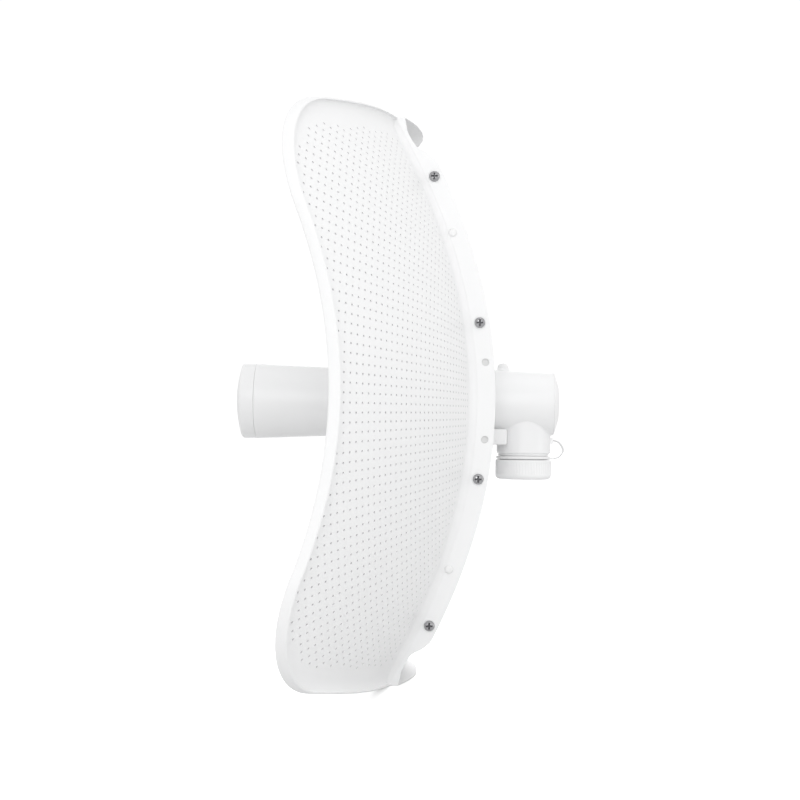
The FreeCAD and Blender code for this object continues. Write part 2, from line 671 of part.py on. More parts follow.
def build():
    right = wing()
    screws, studs = fastener_spots()
    return {
        "centre_panel": centre_panel(),
        "wing_right": right,
        "wing_left": mirrored(right),
        "wing_screws": both_sides([pan_screw(y, z) for y, z in screws]),
        "wing_nuts": both_sides([clinch_nut(y, z) for y, z in screws]),
        "snap_studs": both_sides([snap_stud(y, z) for y, z in studs]),
        "bracket_inserts": both_sides([bracket_insert(y, z) for y, z in bracket_spots()]),
        "feed_collar": feed_collar(),
        "feed_tube": feed_tube(),
        "front_cap": front_cap(),
        "front_seal": front_seal(),
        "splash_plate": splash_plate(),
        "feed_radiator": feed_radiator(),
        "radio_board": radio_board(),
        "shield_can": shield_can(),
        "board_rails": board_rails(),
        "ethernet_jack": ethernet_jack(),
        "jack_contacts": jack_contacts(),
        "reset_switch": reset_switch(),
        "reset_button": reset_button(),
        "rear_housing": rear_housing(),
        "rear_end_cap": rear_end_cap(),
        "release_button": release_button(),
        "port_bulkhead": port_bulkhead(),
        "port_seal": port_seal(),
        "port_cap": port_cap(),
        "tether_ring": tether_ring(),
        "cap_strap": cap_strap(),
    }


def main():
    os.makedirs("parts", exist_ok=True)
    for name, shape in build().items():
        print(name, len(shape.Solids), "solids", round(shape.Volume), "mm3", shape.isValid())
        shape.exportStep("parts/%s.step" % name)


main()
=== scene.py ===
"""Visual model of the outdoor wireless bridge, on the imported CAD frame.

The mesh helpers work in millimetres and make_piece() turns them into metres. +Z is up and the
beam leaves along -Y. "Depth" means the distance behind the dish's front face, along +Y.
"""

import math

import bmesh
import bpy
from mathutils import Matrix, Vector
from mathutils.geometry import delaunay_2d_cdt


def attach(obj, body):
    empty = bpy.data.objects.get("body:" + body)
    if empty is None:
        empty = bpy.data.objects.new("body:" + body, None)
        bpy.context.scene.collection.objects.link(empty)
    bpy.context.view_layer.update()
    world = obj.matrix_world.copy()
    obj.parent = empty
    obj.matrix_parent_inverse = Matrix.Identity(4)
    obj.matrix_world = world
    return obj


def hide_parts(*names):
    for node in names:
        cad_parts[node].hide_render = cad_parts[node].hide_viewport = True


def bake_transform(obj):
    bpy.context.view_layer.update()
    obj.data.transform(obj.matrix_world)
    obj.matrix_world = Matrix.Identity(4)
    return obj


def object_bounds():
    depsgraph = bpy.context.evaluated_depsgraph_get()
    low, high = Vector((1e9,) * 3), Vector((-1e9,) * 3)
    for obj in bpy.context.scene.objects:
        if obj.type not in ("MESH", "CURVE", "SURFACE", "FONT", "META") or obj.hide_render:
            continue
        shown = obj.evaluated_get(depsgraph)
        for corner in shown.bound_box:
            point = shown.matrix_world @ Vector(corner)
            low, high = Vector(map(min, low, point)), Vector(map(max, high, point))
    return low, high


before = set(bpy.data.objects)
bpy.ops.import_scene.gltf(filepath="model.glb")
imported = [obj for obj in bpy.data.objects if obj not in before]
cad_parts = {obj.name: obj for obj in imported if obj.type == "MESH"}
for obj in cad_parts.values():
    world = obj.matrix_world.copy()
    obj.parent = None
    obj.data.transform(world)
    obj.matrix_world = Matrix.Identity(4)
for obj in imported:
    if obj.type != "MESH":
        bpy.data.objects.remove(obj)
cad_box = [list(corner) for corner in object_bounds()]
MM = 0.001
WELD = 0.002
SLIVER = 0.0005
SHARP_ANGLE = 34

# Numbers of the further colours of the sheets, partly painted shade
# Hole walls: bare cut steel, darkened further as painted shade inside the holes
CUT_EDGE_AND_SHADE = 1
# End walls: a darker grey that paints in the shade on them
END_WALL_SHADE = 2

# Small gaps: between parts that fit together, and between faces that would else coincide
FIT = 0.1
HAIR = 0.05
SEAT = 0.02
NUDGE = 0.001

# Dish: the paraboloid and its outline, as in the CAD
FOCAL = 108.2
VERTEX_Y = -3.4
HALF_WIDTH = 161.2
HALF_HEIGHT = 132.0
TOP_RADIUS = 720.0
SIDE_RADIUS = -960.0
CORNER_RADIUS = 47.5
SHEET = 0.8
LIP = 5.0
WALL_X = 41.7
FLANGE = 12.2
TIP_DEPTH = 8.5
END_Z = HALF_HEIGHT - WALL_X * WALL_X / (2 * TOP_RADIUS)
END_BULGE = 7.6
WALL_STEP = 1.2
PANEL_HALF = WALL_X - HAIR

# (height, depth) along the S-shaped end of a flange
FLANGE_END = ((109.0, FLANGE), (111.0, 12.0), (112.4, 11.1), (114.2, 9.7), (115.2, 8.0),
              (116.3, 6.6), (117.6, 6.05), (119.0, 5.85), (121.5, 5.75), (124.0, 5.9),
              (127.0, 7.1), (END_Z, TIP_DEPTH))

# Bends of the pressed sheet
OUTER_BEND = 1.2
LIP_FILLET = 3.6
LIP_SWEEP = 5.0
LIP_SWEEP_SPREAD = 1.1
LIP_NOSE_R = 0.25
ROOT_FILLET = 3.0
LIP_ROOT = SHEET + LIP_FILLET
FLANGE_ROOT = SHEET + ROOT_FILLET
PANEL_FLAT = PANEL_HALF - FLANGE_ROOT

# Steps along the outline's arcs and along the walls
TOP_STEPS = 30
CORNER_STEPS = 40
SIDE_STEPS = 26
WALL_PITCH = 3.5
WALL_COUNT = 31
WALL_END_PITCH = 0.7
WALL_END_COUNT = 28
WALL_LAST_GAP = 0.2
TIP_STEPS = 8
PANEL_STEPS = 14

# Perforation of the wings: arcs about the feed's axis, crossed by rows that fan out. Both
# spacings grow a little outwards, because the sheet is punched flat and then stretched
HOLE_R = 0.48
HOLE_SIDES = 8
SCREW_HOLE_SIDES = 20
OPENING_SIDES = 96
ARC_R = 150.8
ARC_PITCH = 3.26
ARC_GROWTH = 0.0135
ARC_SAG = 0.0013
ARC_FIRST = -12
ARC_LAST = 30
ROW_PITCH = 2.59
ROW_FAN = 0.0039
ROW_FAN_GROWTH = 0.0000305
ROW_STRETCH = 0.00021
ROW_LIMIT = 40
CROSSING_ROUNDS = 12
HOLE_RIM_GAP = 5.3
HOLE_BEND_GAP = 0.4
HOLE_TOP_GAP = 11.0
HOLE_WALL_GAP = 7.0

# Perforation of the centre panel: a plain grid
GRID_X = 3.4
GRID_Z = 3.0
GRID_COLUMNS = 11
GRID_ROWS = 44
GRID_SIDE_GAP = 2.5
GRID_END_GAP = 5
GRID_BEZEL_GAP = 3.0

# Screws, studs and threaded inserts on the flanges
SCREW_IN = 7.6
SCREW_Z = (103.2, 35.9)
SCREW_HEAD_H = 1.7
SCREW_HOLE_R = 1.7
SCREW_R = 1.45
SCREW_TIP_R = 1.1
SCREW_TIP = 0.4
SCREW_LENGTH = 6.0
SCREW_TURN = 0.7
SCREW_RAYS = 72
PAN_PROFILE = ((0.0, SEAT), (2.4, SEAT), (2.4, 0.5), (2.33, 0.85), (2.15, 1.15), (1.9, 1.4),
               (1.65, 1.6))
RECESS_ARM = 1.5
RECESS_HALF = 0.42
RECESS_DEPTH = 1.1
RECESS_EDGE = 0.1
RECESS_BEVEL = 0.08
RECESS_TAPER = 0.85
EMBOSS_PROFILE = ((2.45, 0.0), (3.3, 0.0), (3.0, 0.22), (2.5, 0.22))
STUD_IN = 5.6
STUD_Z = 77.3
STUD_HEAD_R = 1.9
STUD_HEAD_H = 1.1
STUD_DOME_R = 0.85
STUD_SHANK = ((0.0, 0.0), (1.3, 0.0), (1.3, -3.6), (0.9, -4.2), (0.0, -4.2))
BRACKET_Z = 35.5 / 2
BRACKET_HOLE_R = 1.75
INSERT_SHANK_R = 2.1
INSERT_BORE_R = 1.25
INSERT_FLANGE_R = 3.0
INSERT_FLANGE = 2.2
INSERT_CHAMFER = 0.2
DUST_PLUG = (0.12, 0.8)

# Feed tube and its front cap
DOME_Y = -119.6
CAP_EDGE_Y = -117.0
CAP_SEAM_Y = -109.9
CAP_SHOULDER_R = 1.4
CAP_PLUG = 5
CAP_WALL = 3.0
TUBE_FRONT_R = 18.3
TUBE_FLARE_Y = -107.5
TUBE_TAPER_Y = -77.5
TUBE_TAPER_R = 17.0
TUBE_SLIM_Y = -45.0
TUBE_NECK_R = 16.2
TUBE_SHOULDER_Y = -9.6
SPIGOT_R = 14.6
WALL = 1.6

# Collar in the panel, with the two bosses behind it
COLLAR_R = 16.8
COLLAR_LIP = 1.2
BEZEL_R = 21.0
BEZEL_EDGE = 1.0
COLLAR_BACK_Y = 5.5
BOSS_X = (9.5, 15.5)
BOSS_Y = (2.0, 11.2)
BOSS_Z = (-20.1, -12.7)
BOSS_CHAMFER = 0.4
BOSS_CORNER_R = 0.9

# Housing and its end cap
HOUSING_FRONT_Y = 6.2
HOUSING_BACK_Y = 33.9
HOUSING_FRONT_R = 16.3
HOUSING_BACK_R = 15.2
HOUSING_STEP = 2.0
SPIGOT_END_Y = -4.0
END_Y = 36.5
END_FLAT_R = 8.3
END_EDGE = 0.6
END_PLUG = 2.5
END_PLUG_WALL = 1.4
ANCHOR_Y = (32.0, 34.2)
ANCHOR_Z = (-19.4, -16.6)
LUG_HALF_WIDTH = 1.5

# Cable port: neck, ring and screw cap
PORT_Y = 20.0
NECK_R = 12.9
NECK_WALL = 1.5
NECK_FILLET = 1.1
BLEND_STEPS = 5
NECK_BOTTOM_Z = -24.2
NECK_SHOULDER = ((0.0, 1.0), (0.0, 0.35), (0.1, 0.1), (0.35, 0.0), (0.7, -0.05))
NECK_END_Z = -34.6
THREAD_R = 11.5
THREAD_PITCH = 2.0
THREAD_DEPTH = 0.55
THREAD_GROOVE = ((0.0, 0.0), (THREAD_DEPTH, 0.35), (THREAD_DEPTH, 0.75), (0.0, 1.1))
PORT_BORE_R = 10.4
PORT_TOP_Z = -13.2
RING_TOP_Z = -25.5
RING_BOTTOM_Z = -27.0
RING_R = 13.1
RING_EDGE_R = 0.35
RING_LUG_Y = 34.6
RING_LUG = 0.8
CAP_R = 13.5
CAP_TOP_Z = -27.3
CAP_BOTTOM_Z = -36.8
CAP_CORNER_R = 2.2
CAP_BORE_R = 12.0
CAP_FLOOR_Z = -35.7
CAP_EDGE_R = 0.35
BEAD_Z = (-30.7, -30.9, -31.1, -31.3)
BEAD = 0.35
RIB_Z = (-34.2, -28.3)
RIB_RUNOUT = 0.3
RIB_DEPTH = 0.08
RIB_COUNT = 60
RIB_SHARE = 0.1

# Strap: (y, z) of its knots, from the lug on the housing to the ring
STRAP_KNOTS = ((34.1, -17.7), (37.2, -18.9), (39.2, -22.4), (37.4, -25.6), (34.5, -26.6))
STRAP_STEPS = 10
STRAP_HALF_WIDTH = 1.3
STRAP_HALF_THICK = 0.33

# Release button and the pad it rises from
RELEASE_Y = 9.7
RELEASE_R = 2.6
RELEASE_TOP_Z = 19.5
RELEASE_DOME_R = 2.2
RELEASE_DOME_Z = 16.9
RELEASE_FLANGE_R = 3.0
RELEASE_FLANGE_Z = (11.4, 12.3)
PAD_SINK = 0.35
PAD_RISE = 1.25
PAD_FLARE_R = 1.15
PAD_FOOT = 1.6
PAD_DEPTH = 1.5

# Surface noise: wide patches, and the depth of the fine relief in metres
PATCH_SCALE = 38.0
PATCH_DETAIL = 5.0
GRAIN_DETAIL = 3.0
RELIEF_DEPTH = 0.0001
ROUGH_SPREAD = 0.06

# Stage and light, in metres and watts
FLOOR_HALF = 12.0
FLOOR_GREY = 0.77
FLOOR_ROUGH = 0.22
FLOOR_GLOW = 0.42
AMBIENT_FRONT = 0.90
AMBIENT_BACK = 1.04
AMBIENT_SEEN = 1.05
LIGHTS = (  # name, place, target, size, power
    ("key", (0.1, 0.2, 1.28), (0.0, -0.02, 0.0), 0.5, 0.5),
    ("side", (1.4, -0.05, 0.35), (0.0, -0.03, 0.0), 0.8, 4.1),
    ("side", (-1.4, -0.05, 0.35), (0.0, -0.03, 0.0), 0.8, 4.1),
    ("rear", (0.4, 1.4, 0.1), (0.0, -0.02, 0.0), 0.6, 0.9),
)


# ---------------------------------------------------------------- mesh helpers

class Skin:
    """Points in millimetres and faces, joined up into one mesh by make_piece().

    finish gives the number of another colour to the faces that don't have the piece's own: the
    darker hole walls, partly painted shade, and the painted shade of the end walls.
    """

    def __init__(self):
        self.points = []
        self.faces = []
        self.finish = {}

    def add(self, points):
        """Add points, and give their numbers."""
        start = len(self.points)
        self.points += [tuple(p) for p in points]
        return list(range(start, start + len(points)))

    def face(self, points):
        """Add one face with its own points."""
        self.faces.append(self.add(points))

    def loft(self, rows, closed=False):
        """Quads between neighbouring rows of points. Closed joins each row's two ends."""
        grid = [self.add(row) for row in rows]
        last = len(grid[0]) if closed else len(grid[0]) - 1
        for a, b in zip(grid, grid[1:]):
            for i in range(last):
                j = (i + 1) % len(a)
                self.faces.append([a[i], a[j], b[j], b[i]])

    def mirrored(self, axis=0):
        """The mirror image across X = 0, or across the zero plane of another axis."""
        twin = Skin()
        twin.points = [tuple(-c if i == axis else c for i, c in enumerate(point))
                       for point in self.points]
        twin.faces = [face[::-1] for face in self.faces]
        twin.finish = dict(self.finish)
        return twin

    def join(self, other):
        """Take in another skin."""
        start = len(self.points)
        first_face = len(self.faces)
        self.finish.update({first_face + i: n for i, n in other.finish.items()})
        self.points += other.points
        self.faces += [[start + i for i in face] for face in other.faces]


def add_object(name, data):
    """A new object of the scene that holds this mesh, light or camera."""
    made = bpy.data.objects.new(name, data)
    bpy.context.scene.collection.objects.link(made)
    return made


def make_piece(name, skin, material, body="antenna", replaced=(), others=()):
    """A mesh object from a skin, with welded points and smooth shading up to the sharp angle.

    Others are the further colours, among them painted shade. A skin that has them is already facing
    outwards.
    """
    mesh = bpy.data.meshes.new(name)
    mesh.from_pydata([[c * MM for c in p] for p in skin.points], [], skin.faces)
    mesh.materials.append(material)
    if others:
        for other in others:
            mesh.materials.append(other)
        numbers = [skin.finish.get(i, 0) for i in range(len(skin.faces))]
        mesh.polygons.foreach_set("material_index", numbers)
    work = bmesh.new()
    work.from_mesh(mesh)
    bmesh.ops.remove_doubles(work, verts=work.verts, dist=WELD * MM)
    bmesh.ops.dissolve_degenerate(work, edges=work.edges, dist=SLIVER * MM)
    if not others:
        bmesh.ops.recalc_face_normals(work, faces=work.faces)
    work.to_mesh(mesh)
    work.free()
    mesh.shade_smooth()
    mesh.set_sharp_from_angle(angle=math.radians(SHARP_ANGLE))
    piece = add_object(name, mesh)
    if replaced:
        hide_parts(*replaced)
    if body:
        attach(piece, body)
    return piece


def arc(centre, radius, start, end, steps=5):
    """Points of an arc in a plane, angles in degrees."""
    turns = [math.radians(start + (end - start) * i / steps) for i in range(steps + 1)]
    return [(centre[0] + radius * math.cos(t), centre[1] + radius * math.sin(t)) for t in turns]


def rounded(points, radius, steps=4):
    """A closed loop with its corners rounded. A point may carry its own radius as a third value."""
    count = len(points)
    out = []
    for i, point in enumerate(points):
        here = Vector(point[:2])
        size = point[2] if len(point) > 2 else radius
        if size <= 0:
            out.append(tuple(here))
            continue
        before = Vector(points[i - 1][:2]) - here
        after = Vector(points[(i + 1) % count][:2]) - here
        half = before.angle(after) / 2
        reach = min(size / math.tan(half), before.length * 0.49, after.length * 0.49)
        size = reach * math.tan(half)
        start = here + before.normalized() * reach
        centre = here + (before.normalized() + after.normalized()).normalized() * (
            size / math.sin(half))
        first = start - centre
        sweep = here + after.normalized() * reach - centre
        turn = math.atan2(first.x * sweep.y - first.y * sweep.x, first.dot(sweep))
        for k in range(steps + 1):
            a = turn * k / steps
            out.append((centre.x + first.x * math.cos(a) - first.y * math.sin(a),
                        centre.y + first.x * math.sin(a) + first.y * math.cos(a)))
    return out


def turned(profile, count, place, wobble=None):
    """Revolve a closed (radius, height) loop. place(u, v, height) puts it on its axis.

    wobble(turn, radius, height) gives what to take off the radius, for ribs.
    """
    rows = []
    for i in range(count):
        turn = 2 * math.pi * i / count
        row = []
        for radius, height in profile:
            size = radius - (wobble(turn, radius, height) if wobble else 0.0)
            row.append(place(size * math.cos(turn), size * math.sin(turn), height))
        rows.append(row)
    skin = Skin()
    skin.loft(rows + rows[:1], closed=True)
    return skin


def turned_x(profile, centre, count):
    """Revolve a closed (radius, x) loop about an axis along X through (y, z)."""
    return turned(profile, count, lambda u, v, x: (x, centre[0] + u, centre[1] + v))


def turned_y(profile, count=128):
    """Revolve a closed (radius, y) loop about the feed's axis."""
    return turned(profile, count, lambda u, v, y: (u, y, v))


def turned_z(profile, y, count, wobble=None):
    """Revolve a closed (radius, z) loop about a vertical axis through (0, y)."""
    return turned(profile, count, lambda u, v, z: (u, y + v, z), wobble)


def capped(rows):
    """A loft of closed rows with both its ends filled."""
    skin = Skin()
    skin.loft(rows, closed=True)
    skin.face(rows[0])
    skin.face(rows[-1][::-1])
    return skin


def bar_x(loop, half):
    """A bar along X from -half to half, with a closed (y, z) loop as its section."""
    return capped([[(x, y, z) for y, z in loop] for x in (-half, half)])


def inside(x, y, loop):
    """True if the point is inside the closed loop of (x, y) points."""
    hit = False
    for (x0, y0), (x1, y1) in zip(loop, loop[1:] + loop[:1]):
        if (y0 > y) != (y1 > y) and x < x0 + (y - y0) / (y1 - y0) * (x1 - x0):
            hit = not hit
    return hit


def circle(x, y, radius, sides, turn=0.0):
    """A closed loop round (x, y), whose first corner is at the angle turn."""
    return [(x + radius * math.cos(turn + 2 * math.pi * i / sides),
             y + radius * math.sin(turn + 2 * math.pi * i / sides)) for i in range(sides)]


def plate(skin, rim, holes, near, far, open_edge):
    """A flat region with holes, made into a plate between two mappings of its (u, v) points.

    near and far turn (u, v) into the plate's two faces. A rim edge for which open_edge(a, b) is
    true gets no side wall, because a bend joins on there.
    """
    points = [Vector(p) for p in rim]
    edges = [(i, (i + 1) % len(rim)) for i in range(len(rim))]
    owner = [-1] * len(rim)
    for number, hole in enumerate(holes):
        start = len(points)
        points += [Vector(p) for p in hole]
        owner += [number] * len(hole)
        edges += [(start + i, start + (i + 1) % len(hole)) for i in range(len(hole))]
    made = delaunay_2d_cdt(points, edges, [], 1, 1e-5, True)
    spots, triangles, origin = made[0], made[2], made[3]
    belongs = [owner[o[0]] if o and o[0] < len(owner) else -1 for o in origin]
    kept = []
    for triangle in triangles:
        owners = {belongs[i] for i in triangle}
        if len(owners) == 1 and -1 not in owners:
            continue
        middle = sum((spots[i] for i in triangle), Vector((0, 0))) / 3
        if owners == {-1} and not inside(middle.x, middle.y, rim):
            continue
        kept.append(list(triangle))
    top = skin.add([near(p.x, p.y) for p in spots])
    low = skin.add([far(p.x, p.y) for p in spots])
    for triangle in kept:
        skin.faces.append([top[i] for i in triangle])
        skin.faces.append([low[i] for i in reversed(triangle)])
    for loop_number, loop in enumerate([rim] + list(holes)):
        for a, b in zip(loop, loop[1:] + loop[:1]):
            if loop_number == 0 and open_edge(a, b):
                continue
            # Hole walls get the darker grey: bare cut edge, and painted shade in the holes
            if len(loop) == HOLE_SIDES:
                skin.finish[len(skin.faces)] = CUT_EDGE_AND_SHADE
            skin.face([near(*a), far(*a), far(*b), near(*b)])


# ---------------------------------------------------------------- materials

def add_noise(tree, where, scale, detail):
    """A noise texture that follows the object, and its output."""
    noise = tree.nodes.new("ShaderNodeTexNoise")
    noise.inputs["Scale"].default_value = scale
    noise.inputs["Detail"].default_value = detail
    tree.links.new(where.outputs["Object"], noise.inputs["Vector"])
    return noise.outputs["Fac"]


def material(name, colour, rough, metallic=0.0, bump=0.0, grain=900.0, coat=0.0):
    """A Principled finish with uneven roughness and a fine bump."""
    made = bpy.data.materials.new(name)
    made.use_nodes = True
    tree = made.node_tree
    shader = tree.nodes["Principled BSDF"]
    shader.inputs["Base Color"].default_value = (*colour, 1.0)
    shader.inputs["Metallic"].default_value = metallic
    shader.inputs["Coat Weight"].default_value = coat
    where = tree.nodes.new("ShaderNodeTexCoord")
    patches = add_noise(tree, where, PATCH_SCALE, PATCH_DETAIL)
    to_rough = tree.nodes.new("ShaderNodeMapRange")
    to_rough.inputs["To Min"].default_value = rough - ROUGH_SPREAD
    to_rough.inputs["To Max"].default_value = rough + ROUGH_SPREAD
    tree.links.new(patches, to_rough.inputs["Value"])
    tree.links.new(to_rough.outputs["Result"], shader.inputs["Roughness"])
    relief = tree.nodes.new("ShaderNodeBump")
    relief.inputs["Strength"].default_value = bump
    relief.inputs["Distance"].default_value = RELIEF_DEPTH
    tree.links.new(add_noise(tree, where, grain, GRAIN_DETAIL), relief.inputs["Height"])
    tree.links.new(relief.outputs["Normal"], shader.inputs["Normal"])
    return made


def make_materials():
    """Every finish, by its short name."""
    return {
        "paint": material("powder_coat", (0.86, 0.862, 0.865), 0.42, bump=0.10, grain=1400),
        # Hole walls: grey of the bare cut edge, made darker as painted shade in the holes
        "cut": material("cut_steel_and_shade", (0.62, 0.62, 0.625), 0.5, bump=0.2, grain=3000),
        # Painted shade for the panel's end walls: a darker grey than the powder coat
        "end_wall": material("end_wall_coat", (0.735, 0.737, 0.74), 0.45, bump=0.10, grain=1400),
        "radome": material("radome_white", (0.85, 0.852, 0.855), 0.36, bump=0.05, grain=2200),
        "button": material("button_white", (0.83, 0.83, 0.83), 0.34, bump=0.05, grain=2600),
        "strap": material("strap_white", (0.68, 0.68, 0.685), 0.4, bump=0.05, grain=2600),
        "screw": material("bright_zinc", (0.40, 0.40, 0.41), 0.17, 1.0, bump=0.12, grain=3000),
        # Painted shade: the cross recesses in near-black
        "recess": material("recess_painted_shade", (0.08, 0.08, 0.085), 0.4, 0.8, bump=0.12),
        "insert": material("dull_zinc", (0.66, 0.66, 0.66), 0.55, 0.6, bump=0.15, grain=3000),
        "rubber": material("seal_rubber", (0.02, 0.02, 0.021), 0.65, bump=0.3, grain=1600),
        "reflector": material("satin_aluminium", (0.78, 0.78, 0.79), 0.32, 1.0, bump=0.1),
        "board": material("solder_mask", (0.015, 0.11, 0.045), 0.35, bump=0.1, coat=0.3),
        "tin": material("tinned_steel", (0.72, 0.72, 0.74), 0.3, 1.0, bump=0.1),
        "black": material("black_moulded", (0.018, 0.018, 0.019), 0.45, bump=0.15),
        "gold": material("gold_flash", (0.83, 0.6, 0.22), 0.25, 1.0, bump=0.05),
        "natural": material("natural_moulded", (0.72, 0.72, 0.70), 0.45, bump=0.1),
    }


# ---------------------------------------------------------------- dish geometry

def dish_y(x, z):
    """Front face of the dish at this point of the XZ plane."""
    return VERTEX_Y - (x * x + z * z) / (4 * FOCAL)


def at_depth(x, z, depth):
    """The point this far behind the dish's front face."""
    return (x, dish_y(x, z) + depth, z)


def outline_stations():
    """(centre, radius, angle) along the wing's outline, from the flange's top to its bottom."""
    top_c = Vector((0.0, HALF_HEIGHT - TOP_RADIUS))
    side_c = Vector((HALF_WIDTH - SIDE_RADIUS, 0.0))
    reach_top = TOP_RADIUS - CORNER_RADIUS
    reach_side = SIDE_RADIUS - CORNER_RADIUS
    link = side_c - top_c
    gap = link.length
    along = (reach_top ** 2 - reach_side ** 2 + gap ** 2) / (2 * gap)
    off = math.sqrt(reach_top ** 2 - along ** 2)
    across = Vector((-link.y, link.x)) / gap
    spots = [top_c + link * (along / gap) + across * s * off for s in (1, -1)]
    corner = max(spots, key=lambda p: p.x + p.y)
    a_top = math.atan2(corner.y - top_c.y, corner.x - top_c.x)
    a_side = math.asin(corner.y / reach_side)
    a_start = math.acos(WALL_X / TOP_RADIUS)
    a_root = math.acos((WALL_X + FLANGE_ROOT) / (TOP_RADIUS - LIP_ROOT - LIP_SWEEP))

    def spread(centre, radius, start, end, count):
        return [(centre, radius, start + (end - start) * i / count) for i in range(count)]

    upper = [(top_c, TOP_RADIUS, a_start)]
    upper += spread(top_c, TOP_RADIUS, a_root, a_top, TOP_STEPS)
    upper += spread(corner, CORNER_RADIUS, a_top, a_side, CORNER_STEPS)
    upper += spread(side_c, SIDE_RADIUS, a_side, 0.0, SIDE_STEPS)
    lower = [(Vector((c.x, -c.y)), r, -a) for c, r, a in reversed(upper)]
    return upper + [(side_c, SIDE_RADIUS, 0.0)] + lower


def outline_point(station, inset):
    """The point this far inside the outline, towards the station's own centre."""
    centre, radius, angle = station
    return (centre.x + (radius - inset) * math.cos(angle),
            centre.y + (radius - inset) * math.sin(angle))


def swept(station, inset):
    """The inset, stretched inside the lip so that the top and bottom edges curl more gently."""
    share = min(1.0, LIP_SWEEP_SPREAD * math.sin(station[2]) ** 2)
    return inset + LIP_SWEEP * share * max(inset - SHEET, 0.0) / LIP_FILLET


def lip_section(depth):
    """(inset, depth) from the sheet's front face, round the lip's free edge, to its back face."""
    edge = LIP_NOSE_R
    bend = arc((OUTER_BEND, OUTER_BEND), OUTER_BEND, 270, 180)
    nose = arc((edge, depth - edge), edge, 180, 90, 3)
    nose += arc((SHEET - edge, depth - edge), edge, 90, 0, 3)
    fillet = arc((LIP_ROOT, LIP_ROOT), LIP_FILLET, 180, 270)
    return [(LIP_ROOT, 0.0)] + bend + nose + fillet


def wall_depth(z, full):
    """Depth of a wall at this height: full in its middle, and its S-shaped end beyond that."""
    here = min(abs(z), END_Z)
    depth = FLANGE
    for (z0, d0), (z1, d1) in zip(FLANGE_END, FLANGE_END[1:]):
        if z0 < here <= z1:
            depth = d0 + (d1 - d0) * (here - z0) / (z1 - z0)
    return depth - (FLANGE - full)


def wall_stations(last):
    """Heights along a wall, up to last, closer together in its S-shaped ends."""
    middle = [i * WALL_PITCH for i in range(WALL_COUNT)]
    ends = [FLANGE_END[0][0] + i * WALL_END_PITCH for i in range(WALL_END_COUNT)]
    upper = [z for z in middle + ends if z < last - WALL_LAST_GAP] + [last]
    upper = sorted(set(round(z, 4) for z in upper))
    return [-z for z in reversed(upper[1:])] + upper


def fastener_spots():
    """(depth, z) of the screws, the studs and the bracket inserts, along one flange."""
    screws = [(SCREW_IN, s * z) for z in SCREW_Z for s in (1, -1)]
    studs = [(STUD_IN, s * STUD_Z) for s in (1, -1)]
    brackets = [(-dish_y(WALL_X, BRACKET_Z), s * BRACKET_Z) for s in (1, -1)]
    return screws, studs, brackets


def wall_plate(skin, x_near, x_far, full, heights, radii):
    """A flange's flat part with its holes, from the bend's end to the free edge."""
    front = [(FLANGE_ROOT, z) for z in heights]
    back = [(wall_depth(z, full), z) for z in reversed(heights)]
    holes = []
    for spots, radius in zip(fastener_spots(), radii):
        for depth, z in spots:
            holes.append(circle(depth, z, radius, SCREW_HOLE_SIDES))

    def face_at(x):
        return lambda depth, z: (x, dish_y(WALL_X, z) + depth, z)

    def joins_bend(a, b):
        return a[0] == FLANGE_ROOT and b[0] == FLANGE_ROOT

    plate(skin, front + back, holes, face_at(x_near), face_at(x_far), joins_bend)


def root_bend(skin, wall_x, inwards, heights, root_z):
    """The bend between a wall and the sheet, which starts at wall_x and runs inwards (+1 or -1).

    Beyond root_z its front sinks a hair into the lip, which is already there.
    """
    outer = [(FLANGE_ROOT, 0.0)] + arc((OUTER_BEND, OUTER_BEND), OUTER_BEND, 270, 180)
    outer += [(0.0, FLANGE_ROOT)]
    inner = arc((FLANGE_ROOT, FLANGE_ROOT), ROOT_FILLET, 180, 270)
    rows = []
    for z in heights:
        sunk = HAIR if abs(z) > root_z else 0.0
        row = []
        for inset, depth in outer + inner:
            drop = sunk if depth < OUTER_BEND / 2 else 0.0
            x = wall_x + inwards * inset
            share = inset / FLANGE_ROOT
            face = dish_y(x, z) * share + dish_y(WALL_X, z) * (1 - share)
            row.append((x, face + depth + drop, z))
        rows.append(row)
    split = len(outer)
    skin.loft([row[:split] for row in rows])
    skin.loft([row[split:] for row in rows])
    skin.face(rows[0])
    skin.face(rows[-1])


def sheet_plate(skin, rim, holes):
    """A dished part of the sheet, with its holes. Bends join on all round it."""
    plate(skin, rim, holes, lambda x, z: at_depth(x, z, 0.0), lambda x, z: at_depth(x, z, SHEET),
          lambda a, b: True)


def perforation(limit_loop, x_from):
    """Hole centres inside the limit loop, from x_from outwards, where each arc meets each row."""
    spots = []
    for i in range(ARC_FIRST, ARC_LAST):
        for v in range(-ROW_LIMIT, ROW_LIMIT + 1):
            radius = ARC_R - ARC_PITCH * i - ARC_GROWTH * i * i - ARC_SAG * v * v
            x = radius
            for _ in range(CROSSING_ROUNDS):
                pitch = ROW_PITCH + ROW_FAN * x + ROW_FAN_GROWTH * x * x + ROW_STRETCH * v * v
                z = v * pitch
                x = math.sqrt(max(radius * radius - z * z, 0.0))
            clear = all(math.dist((x, z), spot) > 4 * HOLE_R for spot in spots)
            if clear and x >= x_from and inside(x, z, limit_loop):
                spots.append((x, z))
    return spots


def hole_limit(stations):
    """The loop that a wing's holes stay inside: clear of the lip's bend and of the top edge."""
    limit = []
    for station in stations:
        inset = max(HOLE_RIM_GAP, swept(station, LIP_ROOT) + HOLE_R + HOLE_BEND_GAP)
        x, z = outline_point(station, inset)
        top = HALF_HEIGHT - x * x / (2 * TOP_RADIUS) - HOLE_TOP_GAP
        limit.append((x, max(-top, min(top, z))))
    return limit


